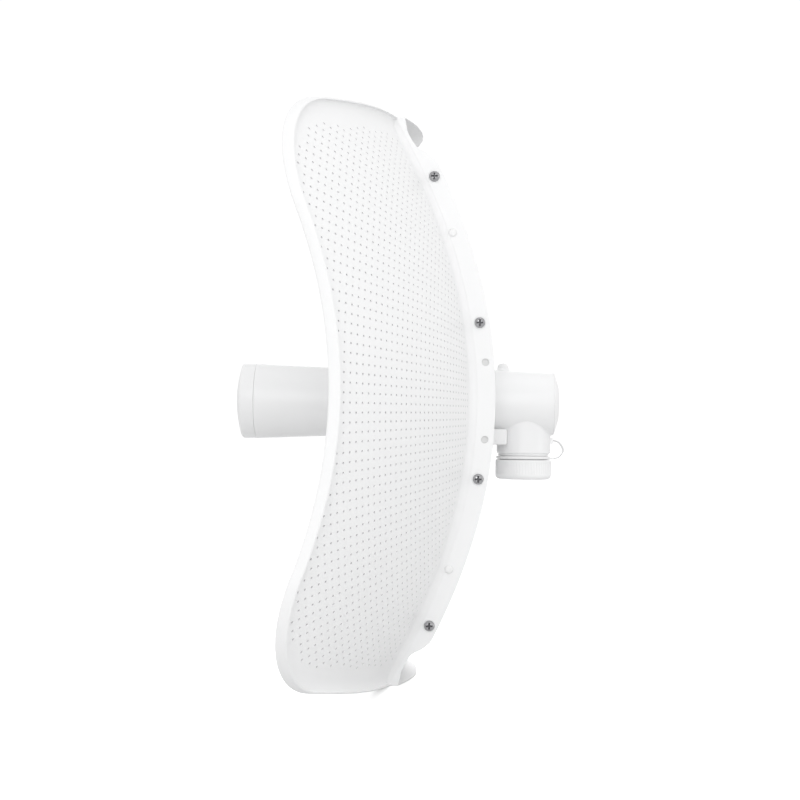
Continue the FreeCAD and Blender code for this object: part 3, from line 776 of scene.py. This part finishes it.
def wing_skin():
    """The +X wing: perforated sheet, rolled lip and screwed flange in one pressing."""
    skin = Skin()
    stations = outline_stations()
    section = lip_section(LIP)
    rows = []
    for station in stations:
        row = []
        for inset, depth in section:
            x, z = outline_point(station, swept(station, inset))
            row.append(at_depth(x, z, depth))
        rows.append(row)
    skin.loft(rows)
    skin.face(rows[0][::-1])
    skin.face(rows[-1])

    rim = [outline_point(s, swept(s, LIP_ROOT)) for s in stations[1:-1]]
    root_x, root_z = rim[0]
    heights = wall_stations(root_z)
    rim += [(root_x, z) for z in heights[1:-1]]
    centres = perforation(hole_limit(stations), WALL_X + HOLE_WALL_GAP)
    sheet_plate(skin, rim, [circle(x, z, HOLE_R, HOLE_SIDES, math.atan2(z, x))
                            for x, z in centres])

    tip = END_Z - FIT
    beyond = [root_z + NUDGE] + [root_z + (tip - root_z) * i / TIP_STEPS
                              for i in range(1, TIP_STEPS + 1)]
    heights = [-z for z in reversed(beyond)] + heights + beyond
    root_bend(skin, WALL_X, 1, heights, root_z)
    wall_plate(skin, WALL_X, WALL_X + SHEET, FLANGE, heights,
               (SCREW_HOLE_R, SCREW_HOLE_R, BRACKET_HOLE_R))
    for depth, z in fastener_spots()[0]:
        skin.join(emboss(dish_y(WALL_X, z) + depth, z))
    return skin


def emboss(y, z):
    """The low raised ring pressed round a screw."""
    seat = WALL_X + SHEET - SEAT
    profile = [(radius, seat + height) for radius, height in EMBOSS_PROFILE]
    return turned_x(rounded(profile, 0.1, 3), (y, z), 40)


def panel_sheet(skin, flat_z, heights):
    """The panel's perforated sheet, with the round opening for the collar."""
    widths = panel_widths()
    rim = [(x, flat_z) for x in reversed(widths)] + [(-PANEL_FLAT, z)
                                                     for z in reversed(heights[1:-1])]
    rim += [(x, -flat_z) for x in widths] + [(PANEL_FLAT, z) for z in heights[1:-1]]
    holes = [circle(0.0, 0.0, COLLAR_R + FIT, OPENING_SIDES)]
    for i in range(-GRID_COLUMNS, GRID_COLUMNS + 1):
        for j in range(-GRID_ROWS, GRID_ROWS + 1):
            x, z = i * GRID_X, (j + 0.5) * GRID_Z
            clear = abs(x) < PANEL_FLAT - GRID_SIDE_GAP and abs(z) < flat_z - GRID_END_GAP
            if clear and math.hypot(x, z) > BEZEL_R + GRID_BEZEL_GAP:
                holes.append(circle(x, z, HOLE_R, HOLE_SIDES))
    sheet_plate(skin, rim, holes)


def panel_widths():
    """x along the flat part of the panel's ends."""
    return [PANEL_FLAT * i / PANEL_STEPS for i in range(-PANEL_STEPS, PANEL_STEPS + 1)]


def panel_end():
    """The panel's upper end wall: a bowed lip, deepest in the middle, its wall faces in a darker
    grey as painted shade.
    """
    rows = []
    for x in [-PANEL_HALF] + panel_widths() + [PANEL_HALF]:
        across = 1 - (x / WALL_X) ** 2
        depth = TIP_DEPTH + (END_BULGE - WALL_X ** 2 / (4 * FOCAL)) * across
        rows.append([at_depth(x, END_Z - inset, behind) for inset, behind in lip_section(depth)])
    end = Skin()
    end.loft(rows)
    end.face(rows[0][::-1])
    end.face(rows[-1])
    # Faces behind the sheet get the darker grey of painted shade
    for number, face in enumerate(end.faces):
        corners = [end.points[i] for i in face]
        if all(y - dish_y(x, z) > SHEET / 2 for x, y, z in corners):
            end.finish[number] = END_WALL_SHADE
    return end


def panel_side(flat_z, heights):
    """The panel's +X wall, just inside the wing's flange, with its bend."""
    beyond = [flat_z + NUDGE, END_Z - SHEET / 2]
    heights = [-z for z in reversed(beyond)] + heights + beyond
    side = Skin()
    root_bend(side, PANEL_HALF, -1, heights, flat_z)
    wall_plate(side, PANEL_HALF, PANEL_HALF - SHEET, FLANGE - WALL_STEP, heights,
               (SCREW_HOLE_R, SCREW_HOLE_R, INSERT_SHANK_R))
    return side


def panel_skin():
    """The centre panel: perforated sheet with a round opening, two walls and two end walls."""
    skin = Skin()
    flat_z = END_Z - LIP_ROOT
    heights = wall_stations(flat_z)
    panel_sheet(skin, flat_z, heights)
    upper = panel_end()
    skin.join(upper)
    skin.join(upper.mirrored(axis=2))
    side = panel_side(flat_z, heights)
    skin.join(side)
    skin.join(side.mirrored())
    return skin


# ---------------------------------------------------------------- fasteners

def both(skin):
    """The skin and its mirror image."""
    twin = skin.mirrored()
    twin.join(skin)
    return twin


def cross_radius(turn):
    """Distance from the middle to the edge of a cross recess, in this direction."""
    c, s = max(abs(math.cos(turn)), 1e-6), max(abs(math.sin(turn)), 1e-6)
    return max(min(RECESS_ARM / c, RECESS_HALF / s), min(RECESS_ARM / s, RECESS_HALF / c))


def screw_rays(z):
    """(cosine, sine, edge of the recess) round a screw. Each screw is turned differently."""
    spin = z * SCREW_TURN
    turns = [spin + 2 * math.pi * i / SCREW_RAYS for i in range(SCREW_RAYS)]
    return [(math.cos(t), math.sin(t), cross_radius(t - spin)) for t in turns]


def pan_head(y, z):
    """Pan head with the rim of its cross recess, on the flange's outer face, and the shank."""
    seat = WALL_X + SHEET
    top = seat + SCREW_HEAD_H
    rows = []
    for c, s, edge in screw_rays(z):
        row = [(seat + x, y + r * c, z + r * s) for r, x in PAN_PROFILE]
        brink = edge + RECESS_BEVEL
        row.append((top - SEAT, y + brink * c, z + brink * s))
        row.append((top - RECESS_EDGE, y + edge * c, z + edge * s))
        rows.append(row)
    skin = Skin()
    skin.loft(rows + rows[:1])
    tip = seat - SCREW_LENGTH
    skin.join(turned_x([(0.0, seat), (SCREW_R, seat), (SCREW_R, tip + SCREW_TIP),
                        (SCREW_TIP_R, tip), (0.0, tip)], (y, z), 20))
    return skin


def recess_skin(y, z):
    """The inside of a screw's cross recess, painted near-black as shade."""
    top = WALL_X + SHEET + SCREW_HEAD_H
    steps = ((1.0, top - RECESS_EDGE), (RECESS_TAPER, top - RECESS_DEPTH + 0.1),
             (0.0, top - RECESS_DEPTH))
    rows = [[(x, y + edge * k * c, z + edge * k * s) for k, x in steps]
            for c, s, edge in screw_rays(z)]
    skin = Skin()
    skin.loft(rows + rows[:1])
    return skin


def stud_skin(y, z):
    """Plastic snap stud: low domed head outside, barbed shank inside."""
    seat = WALL_X + SHEET
    dome = arc((STUD_HEAD_R - STUD_DOME_R, seat + 0.2), STUD_DOME_R, 0, 90, 6)
    head = [(0.0, seat + 0.01), (STUD_HEAD_R, seat + 0.01)] + dome + [(0.0, seat + STUD_HEAD_H)]
    skin = turned_x(head, (y, z), 40)
    skin.join(turned_x([(r, seat + x) for r, x in STUD_SHANK], (y, z), 24))
    return skin


def insert_skin(y, z):
    """Press-in threaded insert, its bore closed by a thin dust plug just below the face."""
    inner = WALL_X - SHEET - HAIR
    face = WALL_X - SEAT
    shank = INSERT_SHANK_R - HAIR
    back = inner - INSERT_FLANGE
    profile = [(0.0, face - DUST_PLUG[0]), (INSERT_BORE_R, face - DUST_PLUG[0]),
               (INSERT_BORE_R + 0.1, face), (shank, face), (shank, inner),
               (INSERT_FLANGE_R, inner), (INSERT_FLANGE_R, back + INSERT_CHAMFER),
               (INSERT_FLANGE_R - INSERT_CHAMFER, back), (INSERT_BORE_R, back),
               (INSERT_BORE_R, face - DUST_PLUG[1]), (0.0, face - DUST_PLUG[1])]
    return turned_x(profile, (y, z), 40)


# ---------------------------------------------------------------- feed

def feed_tube_skin():
    """Radome tube, flared in front, with its spigot through the collar."""
    seam = CAP_SEAM_Y + SEAT
    outside = [(TUBE_FRONT_R, seam, 0.12), (TUBE_FRONT_R, TUBE_FLARE_Y, 20),
               (TUBE_TAPER_R, TUBE_TAPER_Y, 60), (TUBE_NECK_R, TUBE_SLIM_Y, 60),
               (TUBE_NECK_R, TUBE_SHOULDER_Y, 0.5), (SPIGOT_R, TUBE_SHOULDER_Y, 0.2),
               (SPIGOT_R, HOUSING_FRONT_Y, 0.2)]
    bore = [(SPIGOT_R - WALL, HOUSING_FRONT_Y, 0.2), (SPIGOT_R - WALL, TUBE_SLIM_Y, 20),
            (TUBE_TAPER_R - WALL, TUBE_TAPER_Y, 20), (TUBE_FRONT_R - WALL, TUBE_FLARE_Y, 10),
            (TUBE_FRONT_R - WALL, seam, 0.1)]
    return turned_y(rounded(outside + bore, 0.2, 5))


def domed(radius, middle_y, edge_y, steps):
    """(radius, y) points of a shallow dome, from its middle to its edge."""
    shares = [i / steps for i in range(steps + 1)]
    return [(radius * share, middle_y + (edge_y - middle_y) * share ** 2) for share in shares]


def front_cap_skin():
    """Domed cap with a rounded shoulder, a fine seam and a plug inside the tube."""
    plug = TUBE_FRONT_R - WALL - 0.15
    bore = TUBE_FRONT_R - CAP_WALL
    back = CAP_SEAM_Y - 0.06
    dome = domed(TUBE_FRONT_R - 1.0, DOME_Y, CAP_EDGE_Y, 9)[:-1]
    shoulder = arc((TUBE_FRONT_R - CAP_SHOULDER_R, CAP_EDGE_Y + CAP_SHOULDER_R - HAIR),
                   CAP_SHOULDER_R, 285, 360, 6)
    trail = [(TUBE_FRONT_R, back - 0.12), (TUBE_FRONT_R - 0.1, back), (plug, back),
             (plug, CAP_SEAM_Y + CAP_PLUG), (bore, CAP_SEAM_Y + CAP_PLUG)]
    lining = domed(bore, DOME_Y + WALL, CAP_EDGE_Y + CAP_SHOULDER_R, 6)
    return turned_y(dome + shoulder + trail + lining[::-1])


def collar_skin():
    """Collar in the panel: sloping bezel in front and two square bosses behind."""
    inner = SPIGOT_R + FIT
    front = TUBE_SHOULDER_Y + FIT
    web_y = VERTEX_Y - BEZEL_R ** 2 / (4 * FOCAL) - FIT
    profile = [(inner, front, 0.1), (TUBE_NECK_R + COLLAR_LIP, front, 0.8),
               (BEZEL_R, web_y - BEZEL_EDGE, 0.6), (BEZEL_R, web_y, 0.05), (COLLAR_R, web_y, 0.05),
               (COLLAR_R, COLLAR_BACK_Y, 0.5), (inner, COLLAR_BACK_Y, 0.1)]
    skin = turned_y(rounded(profile, 0.2, 4))
    boss = boss_skin()
    skin.join(boss)
    skin.join(boss.mirrored())
    return skin


def boss_loop(shrink):
    """(y, z) outline of a boss. Its front end is buried in the collar, so it never shrinks."""
    front, back = BOSS_Y
    low, high = BOSS_Z
    return rounded([(front, low + shrink), (back - shrink, low + shrink),
                    (back - shrink, high - shrink), (front, high - shrink)], BOSS_CORNER_R, 4)


def boss_skin():
    """Square boss behind the collar, cut back where it meets the neck."""
    x_in, x_out = BOSS_X
    rows = [[(x_out, y, z) for y, z in boss_loop(BOSS_CHAMFER)],
            [(x_out - BOSS_CHAMFER, y, z) for y, z in boss_loop(0.0)]]
    reach = NECK_R + HAIR
    foot = []
    for y, z in boss_loop(0.0):
        off = abs(y - PORT_Y)
        x = math.sqrt(reach * reach - off * off) if off < reach else x_in
        foot.append((max(x_in, x), y, z))
    return capped(rows + [foot])


def body_radius(y):
    """Radius of the housing's tapered barrel."""
    share = (y - HOUSING_FRONT_Y) / (HOUSING_BACK_Y - HOUSING_FRONT_Y)
    return HOUSING_FRONT_R + (HOUSING_BACK_R - HOUSING_FRONT_R) * share


def housing_skin():
    """Housing: tapered barrel, pad for the release button, port neck and the strap's lug."""
    front = COLLAR_BACK_Y + HAIR
    back = HOUSING_BACK_Y - 0.03
    step = HOUSING_FRONT_Y + HOUSING_STEP
    socket = HOUSING_FRONT_Y + HAIR
    plug = SPIGOT_R - WALL - FIT
    profile = [(HOUSING_FRONT_R, front, 0.3), (HOUSING_BACK_R, back, 0.06),
               (HOUSING_BACK_R - WALL, back, 0.1), (HOUSING_BACK_R - WALL, step, 0.3),
               (SPIGOT_R - 2 * WALL, step, 0.2), (SPIGOT_R - 2 * WALL, SPIGOT_END_Y, 0.1),
               (plug, SPIGOT_END_Y, 0.1), (plug, socket, 0.1), (SPIGOT_R + 2 * FIT, socket, 0.1),
               (SPIGOT_R + 2 * FIT, front, 0.1)]
    skin = turned_y(rounded(profile, 0.2, 4), 144)
    skin.join(neck_skin())
    skin.join(pad_skin())
    (y0, y1), (z0, z1) = ANCHOR_Y, ANCHOR_Z
    skin.join(bar_x(rounded([(y0, z0), (y1, z0), (y1, z1), (y0, z1)], 0.35, 3), LUG_HALF_WIDTH))
    return skin


def barrel_z(x, y):
    """Height of the barrel's underside at this point of the XY plane."""
    size = body_radius(min(max(y, HOUSING_FRONT_Y + 0.4), HOUSING_BACK_Y - 0.3))
    return -math.sqrt(max(size * size - x * x, 4.0))


def neck_profile(top, outer):
    """(radius, z) from inside the barrel, over the blend, down the neck and thread, to the bore.

    top and outer are the barrel's height at the neck's radius and at the blend's edge.
    """
    points = [(NECK_R - NECK_WALL, top + 2.0)]
    for k in range(BLEND_STEPS + 1):
        turn = math.radians(90 * k / BLEND_STEPS)
        level = outer + 0.03 + (top - NECK_FILLET - outer) * (1 - math.cos(turn))
        points.append((NECK_R + NECK_FILLET * (1 - math.sin(turn)), level))
    points += [(NECK_R - sunk, NECK_BOTTOM_Z + rise) for sunk, rise in NECK_SHOULDER]
    points += [(points[-1][0], RING_TOP_Z + 0.2), (THREAD_R, RING_TOP_Z + 0.15)]
    z = NECK_BOTTOM_Z - THREAD_PITCH
    while z > NECK_END_Z + 1.5:
        points += [(THREAD_R - sunk, z - fall) for sunk, fall in THREAD_GROOVE]
        z -= THREAD_PITCH
    return points + [(THREAD_R, NECK_END_Z + 0.4), (THREAD_R - 0.3, NECK_END_Z),
                     (PORT_BORE_R, NECK_END_Z), (PORT_BORE_R, PORT_TOP_Z)]


def neck_skin():
    """The port's neck, its saddle blend into the barrel, and the threaded spout below it."""
    count = 144
    rows = []
    for i in range(count):
        turn = 2 * math.pi * i / count
        c, s = math.cos(turn), math.sin(turn)
        top, outer = [barrel_z(r * c, PORT_Y + r * s) for r in (NECK_R, NECK_R + NECK_FILLET)]
        rows.append([(r * c, PORT_Y + r * s, z) for r, z in neck_profile(top, outer)])
    skin = Skin()
    skin.loft(rows + rows[:1])
    return skin


def pad_skin():
    """The round pad on top of the barrel from which the release button rises."""
    base = HOUSING_FRONT_R - PAD_SINK
    top = base + PAD_RISE
    inner = RELEASE_R + HAIR
    profile = [(inner, top)] + arc((RELEASE_R + 1.35, top), PAD_FLARE_R, 180, 270, 6)
    profile += [(RELEASE_R + PAD_FOOT, base - PAD_DEPTH), (inner, base - PAD_DEPTH)]
    return turned_z(profile, RELEASE_Y, 48)


def end_cap_skin():
    """Shallow cone with a flat middle, plugged into the barrel."""
    outer = HOUSING_BACK_R - WALL - FIT
    inner = outer - END_PLUG_WALL
    rim = HOUSING_BACK_Y + 0.01
    end = HOUSING_BACK_Y - END_PLUG
    edge = HOUSING_BACK_Y + END_EDGE
    profile = [(0.0, END_Y, 0), (END_FLAT_R, END_Y, 0.8), (HOUSING_BACK_R - 0.4, edge, 0.5),
               (HOUSING_BACK_R, rim, 0.05), (outer, rim, 0.05), (outer, end, 0.2),
               (inner, end, 0.2), (inner, edge, 0.1), (0.0, edge + 0.2, 0)]
    return turned_y(rounded(profile, 0.2, 4))


def release_skin():
    """Domed push button with a flange at the foot of its stem."""
    low, high = RELEASE_FLANGE_Z
    dome = arc((RELEASE_R - RELEASE_DOME_R, RELEASE_TOP_Z - RELEASE_DOME_R), RELEASE_DOME_R,
               0, 90, 9)
    profile = [(0.0, low), (RELEASE_FLANGE_R, low), (RELEASE_FLANGE_R, high), (RELEASE_R, high),
               (RELEASE_R, RELEASE_DOME_Z)]
    return turned_z(profile + dome + [(0.0, RELEASE_TOP_Z)], RELEASE_Y, 48)


def ribs(turn, radius, z):
    """What the port cap's vertical ribs take off its radius."""
    ribbed = radius >= CAP_R - 0.01 and RIB_Z[0] < z < RIB_Z[1]
    return RIB_DEPTH if ribbed and math.cos(turn * RIB_COUNT) > RIB_SHARE else 0.0


def port_cap_skin():
    """Screw cap with fine vertical ribs, a rounded lower edge and a snap bead inside."""
    low = arc((CAP_R - CAP_CORNER_R, CAP_BOTTOM_Z + CAP_CORNER_R), CAP_CORNER_R, 0, -90, 6)
    profile = low[::-1]
    profile += [(CAP_R, RIB_Z[0]), (CAP_R, RIB_Z[0] + RIB_RUNOUT), (CAP_R, RIB_Z[1] - RIB_RUNOUT),
                (CAP_R, RIB_Z[1]), (CAP_R, CAP_TOP_Z - CAP_EDGE_R), (CAP_R - CAP_EDGE_R, CAP_TOP_Z),
                (CAP_BORE_R, CAP_TOP_Z)]
    profile += [(CAP_BORE_R - sunk, z) for sunk, z in zip((0.0, BEAD, BEAD, 0.0), BEAD_Z)]
    profile += [(CAP_BORE_R, CAP_FLOOR_Z), (0.0, CAP_FLOOR_Z), (0.0, CAP_BOTTOM_Z)]
    return turned_z(profile, PORT_Y, 480, ribs)


def ring_skin():
    """Loose ring above the cap with the lug for its strap."""
    bore = THREAD_R + 0.35
    profile = rounded([(bore, RING_BOTTOM_Z), (RING_R, RING_BOTTOM_Z), (RING_R, RING_TOP_Z),
                       (bore, RING_TOP_Z)], RING_EDGE_R, 4)
    skin = turned_z(profile, PORT_Y, 128)
    root = PORT_Y + RING_R - 0.6
    low, high = RING_BOTTOM_Z + 0.01, RING_BOTTOM_Z + RING_LUG
    skin.join(bar_x(rounded([(root, low), (RING_LUG_Y, low), (RING_LUG_Y, high), (root, high)],
                            0.25, 3), LUG_HALF_WIDTH))
    return skin


def strap_skin():
    """Thin moulded strap that loops from the lug on the housing to the ring."""
    knots = [Vector((0.0, y, z)) for y, z in STRAP_KNOTS]
    path = []
    for i in range(len(knots) - 1):
        a = knots[max(i - 1, 0)]
        b, c = knots[i], knots[i + 1]
        d = knots[min(i + 2, len(knots) - 1)]
        for k in range(STRAP_STEPS):
            t = k / STRAP_STEPS
            path.append(0.5 * ((2 * b) + (c - a) * t + (2 * a - 5 * b + 4 * c - d) * t * t
                               + (3 * b - a - 3 * c + d) * t ** 3))
    path.append(knots[-1])
    wide, thick = STRAP_HALF_WIDTH, STRAP_HALF_THICK
    loop = rounded([(-wide, -thick), (wide, -thick), (wide, thick), (-wide, thick)], 0.25, 3)
    rows = []
    for i, point in enumerate(path):
        ahead = path[min(i + 1, len(path) - 1)] - path[max(i - 1, 0)]
        normal = Vector((0.0, -ahead.z, ahead.y)).normalized()
        rows.append([(u, point.y + normal.y * v, point.z + normal.z * v) for u, v in loop])
    return capped(rows)


# ---------------------------------------------------------------- assembly

def build_sheets(mats):
    """The wings and the centre panel, which also use a darker grey for the hole walls, partly
    painted shade, and painted shade on the end walls.
    """
    wing = wing_skin()
    for name, skin, node in (("wing_right_skin", wing, "wing_right"),
                             ("wing_left_skin", wing.mirrored(), "wing_left"),
                             ("panel_skin", panel_skin(), "centre_panel")):
        make_piece(name, skin, mats["paint"], replaced=[node],
                   others=(mats["cut"], mats["end_wall"]))


def build_fasteners(mats):
    """Screws, studs and inserts of both flanges, each kind in one piece."""
    screws, studs, brackets = [[(dish_y(WALL_X, z) + depth, z) for depth, z in group]
                               for group in fastener_spots()]
    for name, nodes, spots, maker, finish, slot in (
            ("screw_heads", ["wing_screws"], screws, pan_head, "screw", "screw_steel"),
            # The recesses carry painted shade, a near-black colour
            ("screw_recesses", [], screws, recess_skin, "recess", "screw_steel"),
            ("stud_heads", ["snap_studs"], studs, stud_skin, "button", "button_plastic"),
            ("insert_faces", ["bracket_inserts"], brackets, insert_skin, "insert",
             "insert_steel")):
        group = Skin()
        for y, z in spots:
            group.join(maker(y, z))
        make_piece(name, both(group), mats[finish], replaced=nodes)


def build_feed(mats):
    """The feed, its housing and the pieces that move on it."""
    radome, button = mats["radome"], mats["button"]
    for name, skin, node in (("feed_tube_skin", feed_tube_skin(), "feed_tube"),
                             ("front_cap_skin", front_cap_skin(), "front_cap"),
                             ("collar_skin", collar_skin(), "feed_collar"),
                             ("housing_skin", housing_skin(), "rear_housing"),
                             ("end_cap_skin", end_cap_skin(), "rear_end_cap")):
        make_piece(name, skin, radome, replaced=[node])
    make_piece("release_skin", release_skin(), button, "release_button", ["release_button"])
    make_piece("port_cap_skin", port_cap_skin(), radome, "port_cap", ["port_cap"])
    make_piece("ring_skin", ring_skin(), button, "tether_ring", ["tether_ring"])
    strap = make_piece("strap_skin", strap_skin(), mats["strap"], None, ["cap_strap"])
    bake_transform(strap)


def finish_nodes(mats):
    """Better finishes for the CAD nodes that stay."""
    finishes = {
        "wing_nuts": "insert", "front_seal": "rubber", "splash_plate": "reflector",
        "feed_radiator": "reflector", "radio_board": "board", "shield_can": "tin",
        "board_rails": "natural", "ethernet_jack": "black", "jack_contacts": "gold",
        "reset_switch": "black", "reset_button": "button", "port_bulkhead": "natural",
        "port_seal": "rubber",
    }
    for node, finish in finishes.items():
        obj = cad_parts[node]
        for place in obj.material_slots:
            place.link = "OBJECT"
            place.material = mats[finish]


# ---------------------------------------------------------------- stage, light and camera

def make_stage(low_z):
    """Pale floor, with a soft sheen, that runs out to the pale surround."""
    made = bpy.data.materials.new("sweep")
    made.use_nodes = True
    tree = made.node_tree
    shader = tree.nodes["Principled BSDF"]
    shader.inputs["Base Color"].default_value = (FLOOR_GREY, FLOOR_GREY, FLOOR_GREY, 1.0)
    shader.inputs["Roughness"].default_value = FLOOR_ROUGH
    shader.inputs["Emission Color"].default_value = (1.0, 1.0, 1.0, 1.0)
    ray = tree.nodes.new("ShaderNodeLightPath")
    glow = tree.nodes.new("ShaderNodeMath")
    glow.operation = "MULTIPLY"
    glow.inputs[1].default_value = FLOOR_GLOW
    tree.links.new(ray.outputs["Is Camera Ray"], glow.inputs[0])
    tree.links.new(glow.outputs["Value"], shader.inputs["Emission Strength"])
    mesh = bpy.data.meshes.new("floor")
    corners = [(x * FLOOR_HALF, y * FLOOR_HALF, low_z)
               for x, y in ((-1, -1), (1, -1), (1, 1), (-1, 1))]
    mesh.from_pydata(corners, [], [(0, 1, 2, 3)])
    mesh.materials.append(made)
    add_object("floor", mesh)


def add_light(name, where, target, size, power):
    """A round area light that the camera doesn't see."""
    data = bpy.data.lights.new(name, "AREA")
    data.shape = "DISK"
    data.size = size
    data.energy = power
    light = add_object(name, data)
    light.location = where
    light.rotation_mode = "QUATERNION"
    light.rotation_quaternion = (Vector(target) - Vector(where)).to_track_quat("-Z", "Y")
    light.visible_camera = False


def make_light():
    """A pale surround, brighter behind the dish, and soft lights above, beside and behind it."""
    world = bpy.data.worlds.new("studio")
    world.use_nodes = True
    tree = world.node_tree
    back = tree.nodes["Background"]
    back.inputs["Color"].default_value = (1.0, 1.0, 1.0, 1.0)
    ray = tree.nodes.new("ShaderNodeLightPath")
    place = tree.nodes.new("ShaderNodeTexCoord")
    split = tree.nodes.new("ShaderNodeSeparateXYZ")
    fade = tree.nodes.new("ShaderNodeMapRange")
    fade.inputs["From Min"].default_value = -1.0
    fade.inputs["To Min"].default_value = AMBIENT_FRONT
    fade.inputs["To Max"].default_value = AMBIENT_BACK
    tree.links.new(place.outputs["Generated"], split.inputs["Vector"])
    tree.links.new(split.outputs["Y"], fade.inputs["Value"])
    level = tree.nodes.new("ShaderNodeMapRange")
    level.inputs["To Max"].default_value = AMBIENT_SEEN
    tree.links.new(fade.outputs["Result"], level.inputs["To Min"])
    tree.links.new(ray.outputs["Is Camera Ray"], level.inputs["Value"])
    tree.links.new(level.outputs["Result"], back.inputs["Strength"])
    bpy.context.scene.world = world
    for light in LIGHTS:
        add_light(*light)
    bpy.context.scene.view_settings.view_transform = "Standard"


def make_camera():
    """Camera level with the object, square to its side, as a long lens sees it."""
    azimuth, elevation, roll = 0.03, -0.0242, 0.012
    distance = 0.7316
    target = Vector((0.0, -0.04031, 0.00102))
    back = Vector((math.cos(azimuth) * math.cos(elevation),
                   math.sin(azimuth) * math.cos(elevation), math.sin(elevation)))
    right = Vector((-math.sin(azimuth), math.cos(azimuth), 0.0))
    up = back.cross(right)
    side = right * math.cos(roll) + up * math.sin(roll)
    rise = up * math.cos(roll) - right * math.sin(roll)
    data = bpy.data.cameras.new("camera")
    data.lens = 67.5
    data.sensor_width = 36.0
    data.clip_start = 0.01
    camera = add_object("camera", data)
    camera.matrix_world = Matrix((
        (side.x, rise.x, back.x, target.x + distance * back.x),
        (side.y, rise.y, back.y, target.y + distance * back.y),
        (side.z, rise.z, back.z, target.z + distance * back.z),
        (0.0, 0.0, 0.0, 1.0)))
    bpy.context.scene.camera = camera


finishes = make_materials()
build_sheets(finishes)
build_fasteners(finishes)
build_feed(finishes)
finish_nodes(finishes)
make_stage(cad_box[0][2])
make_light()
make_camera()
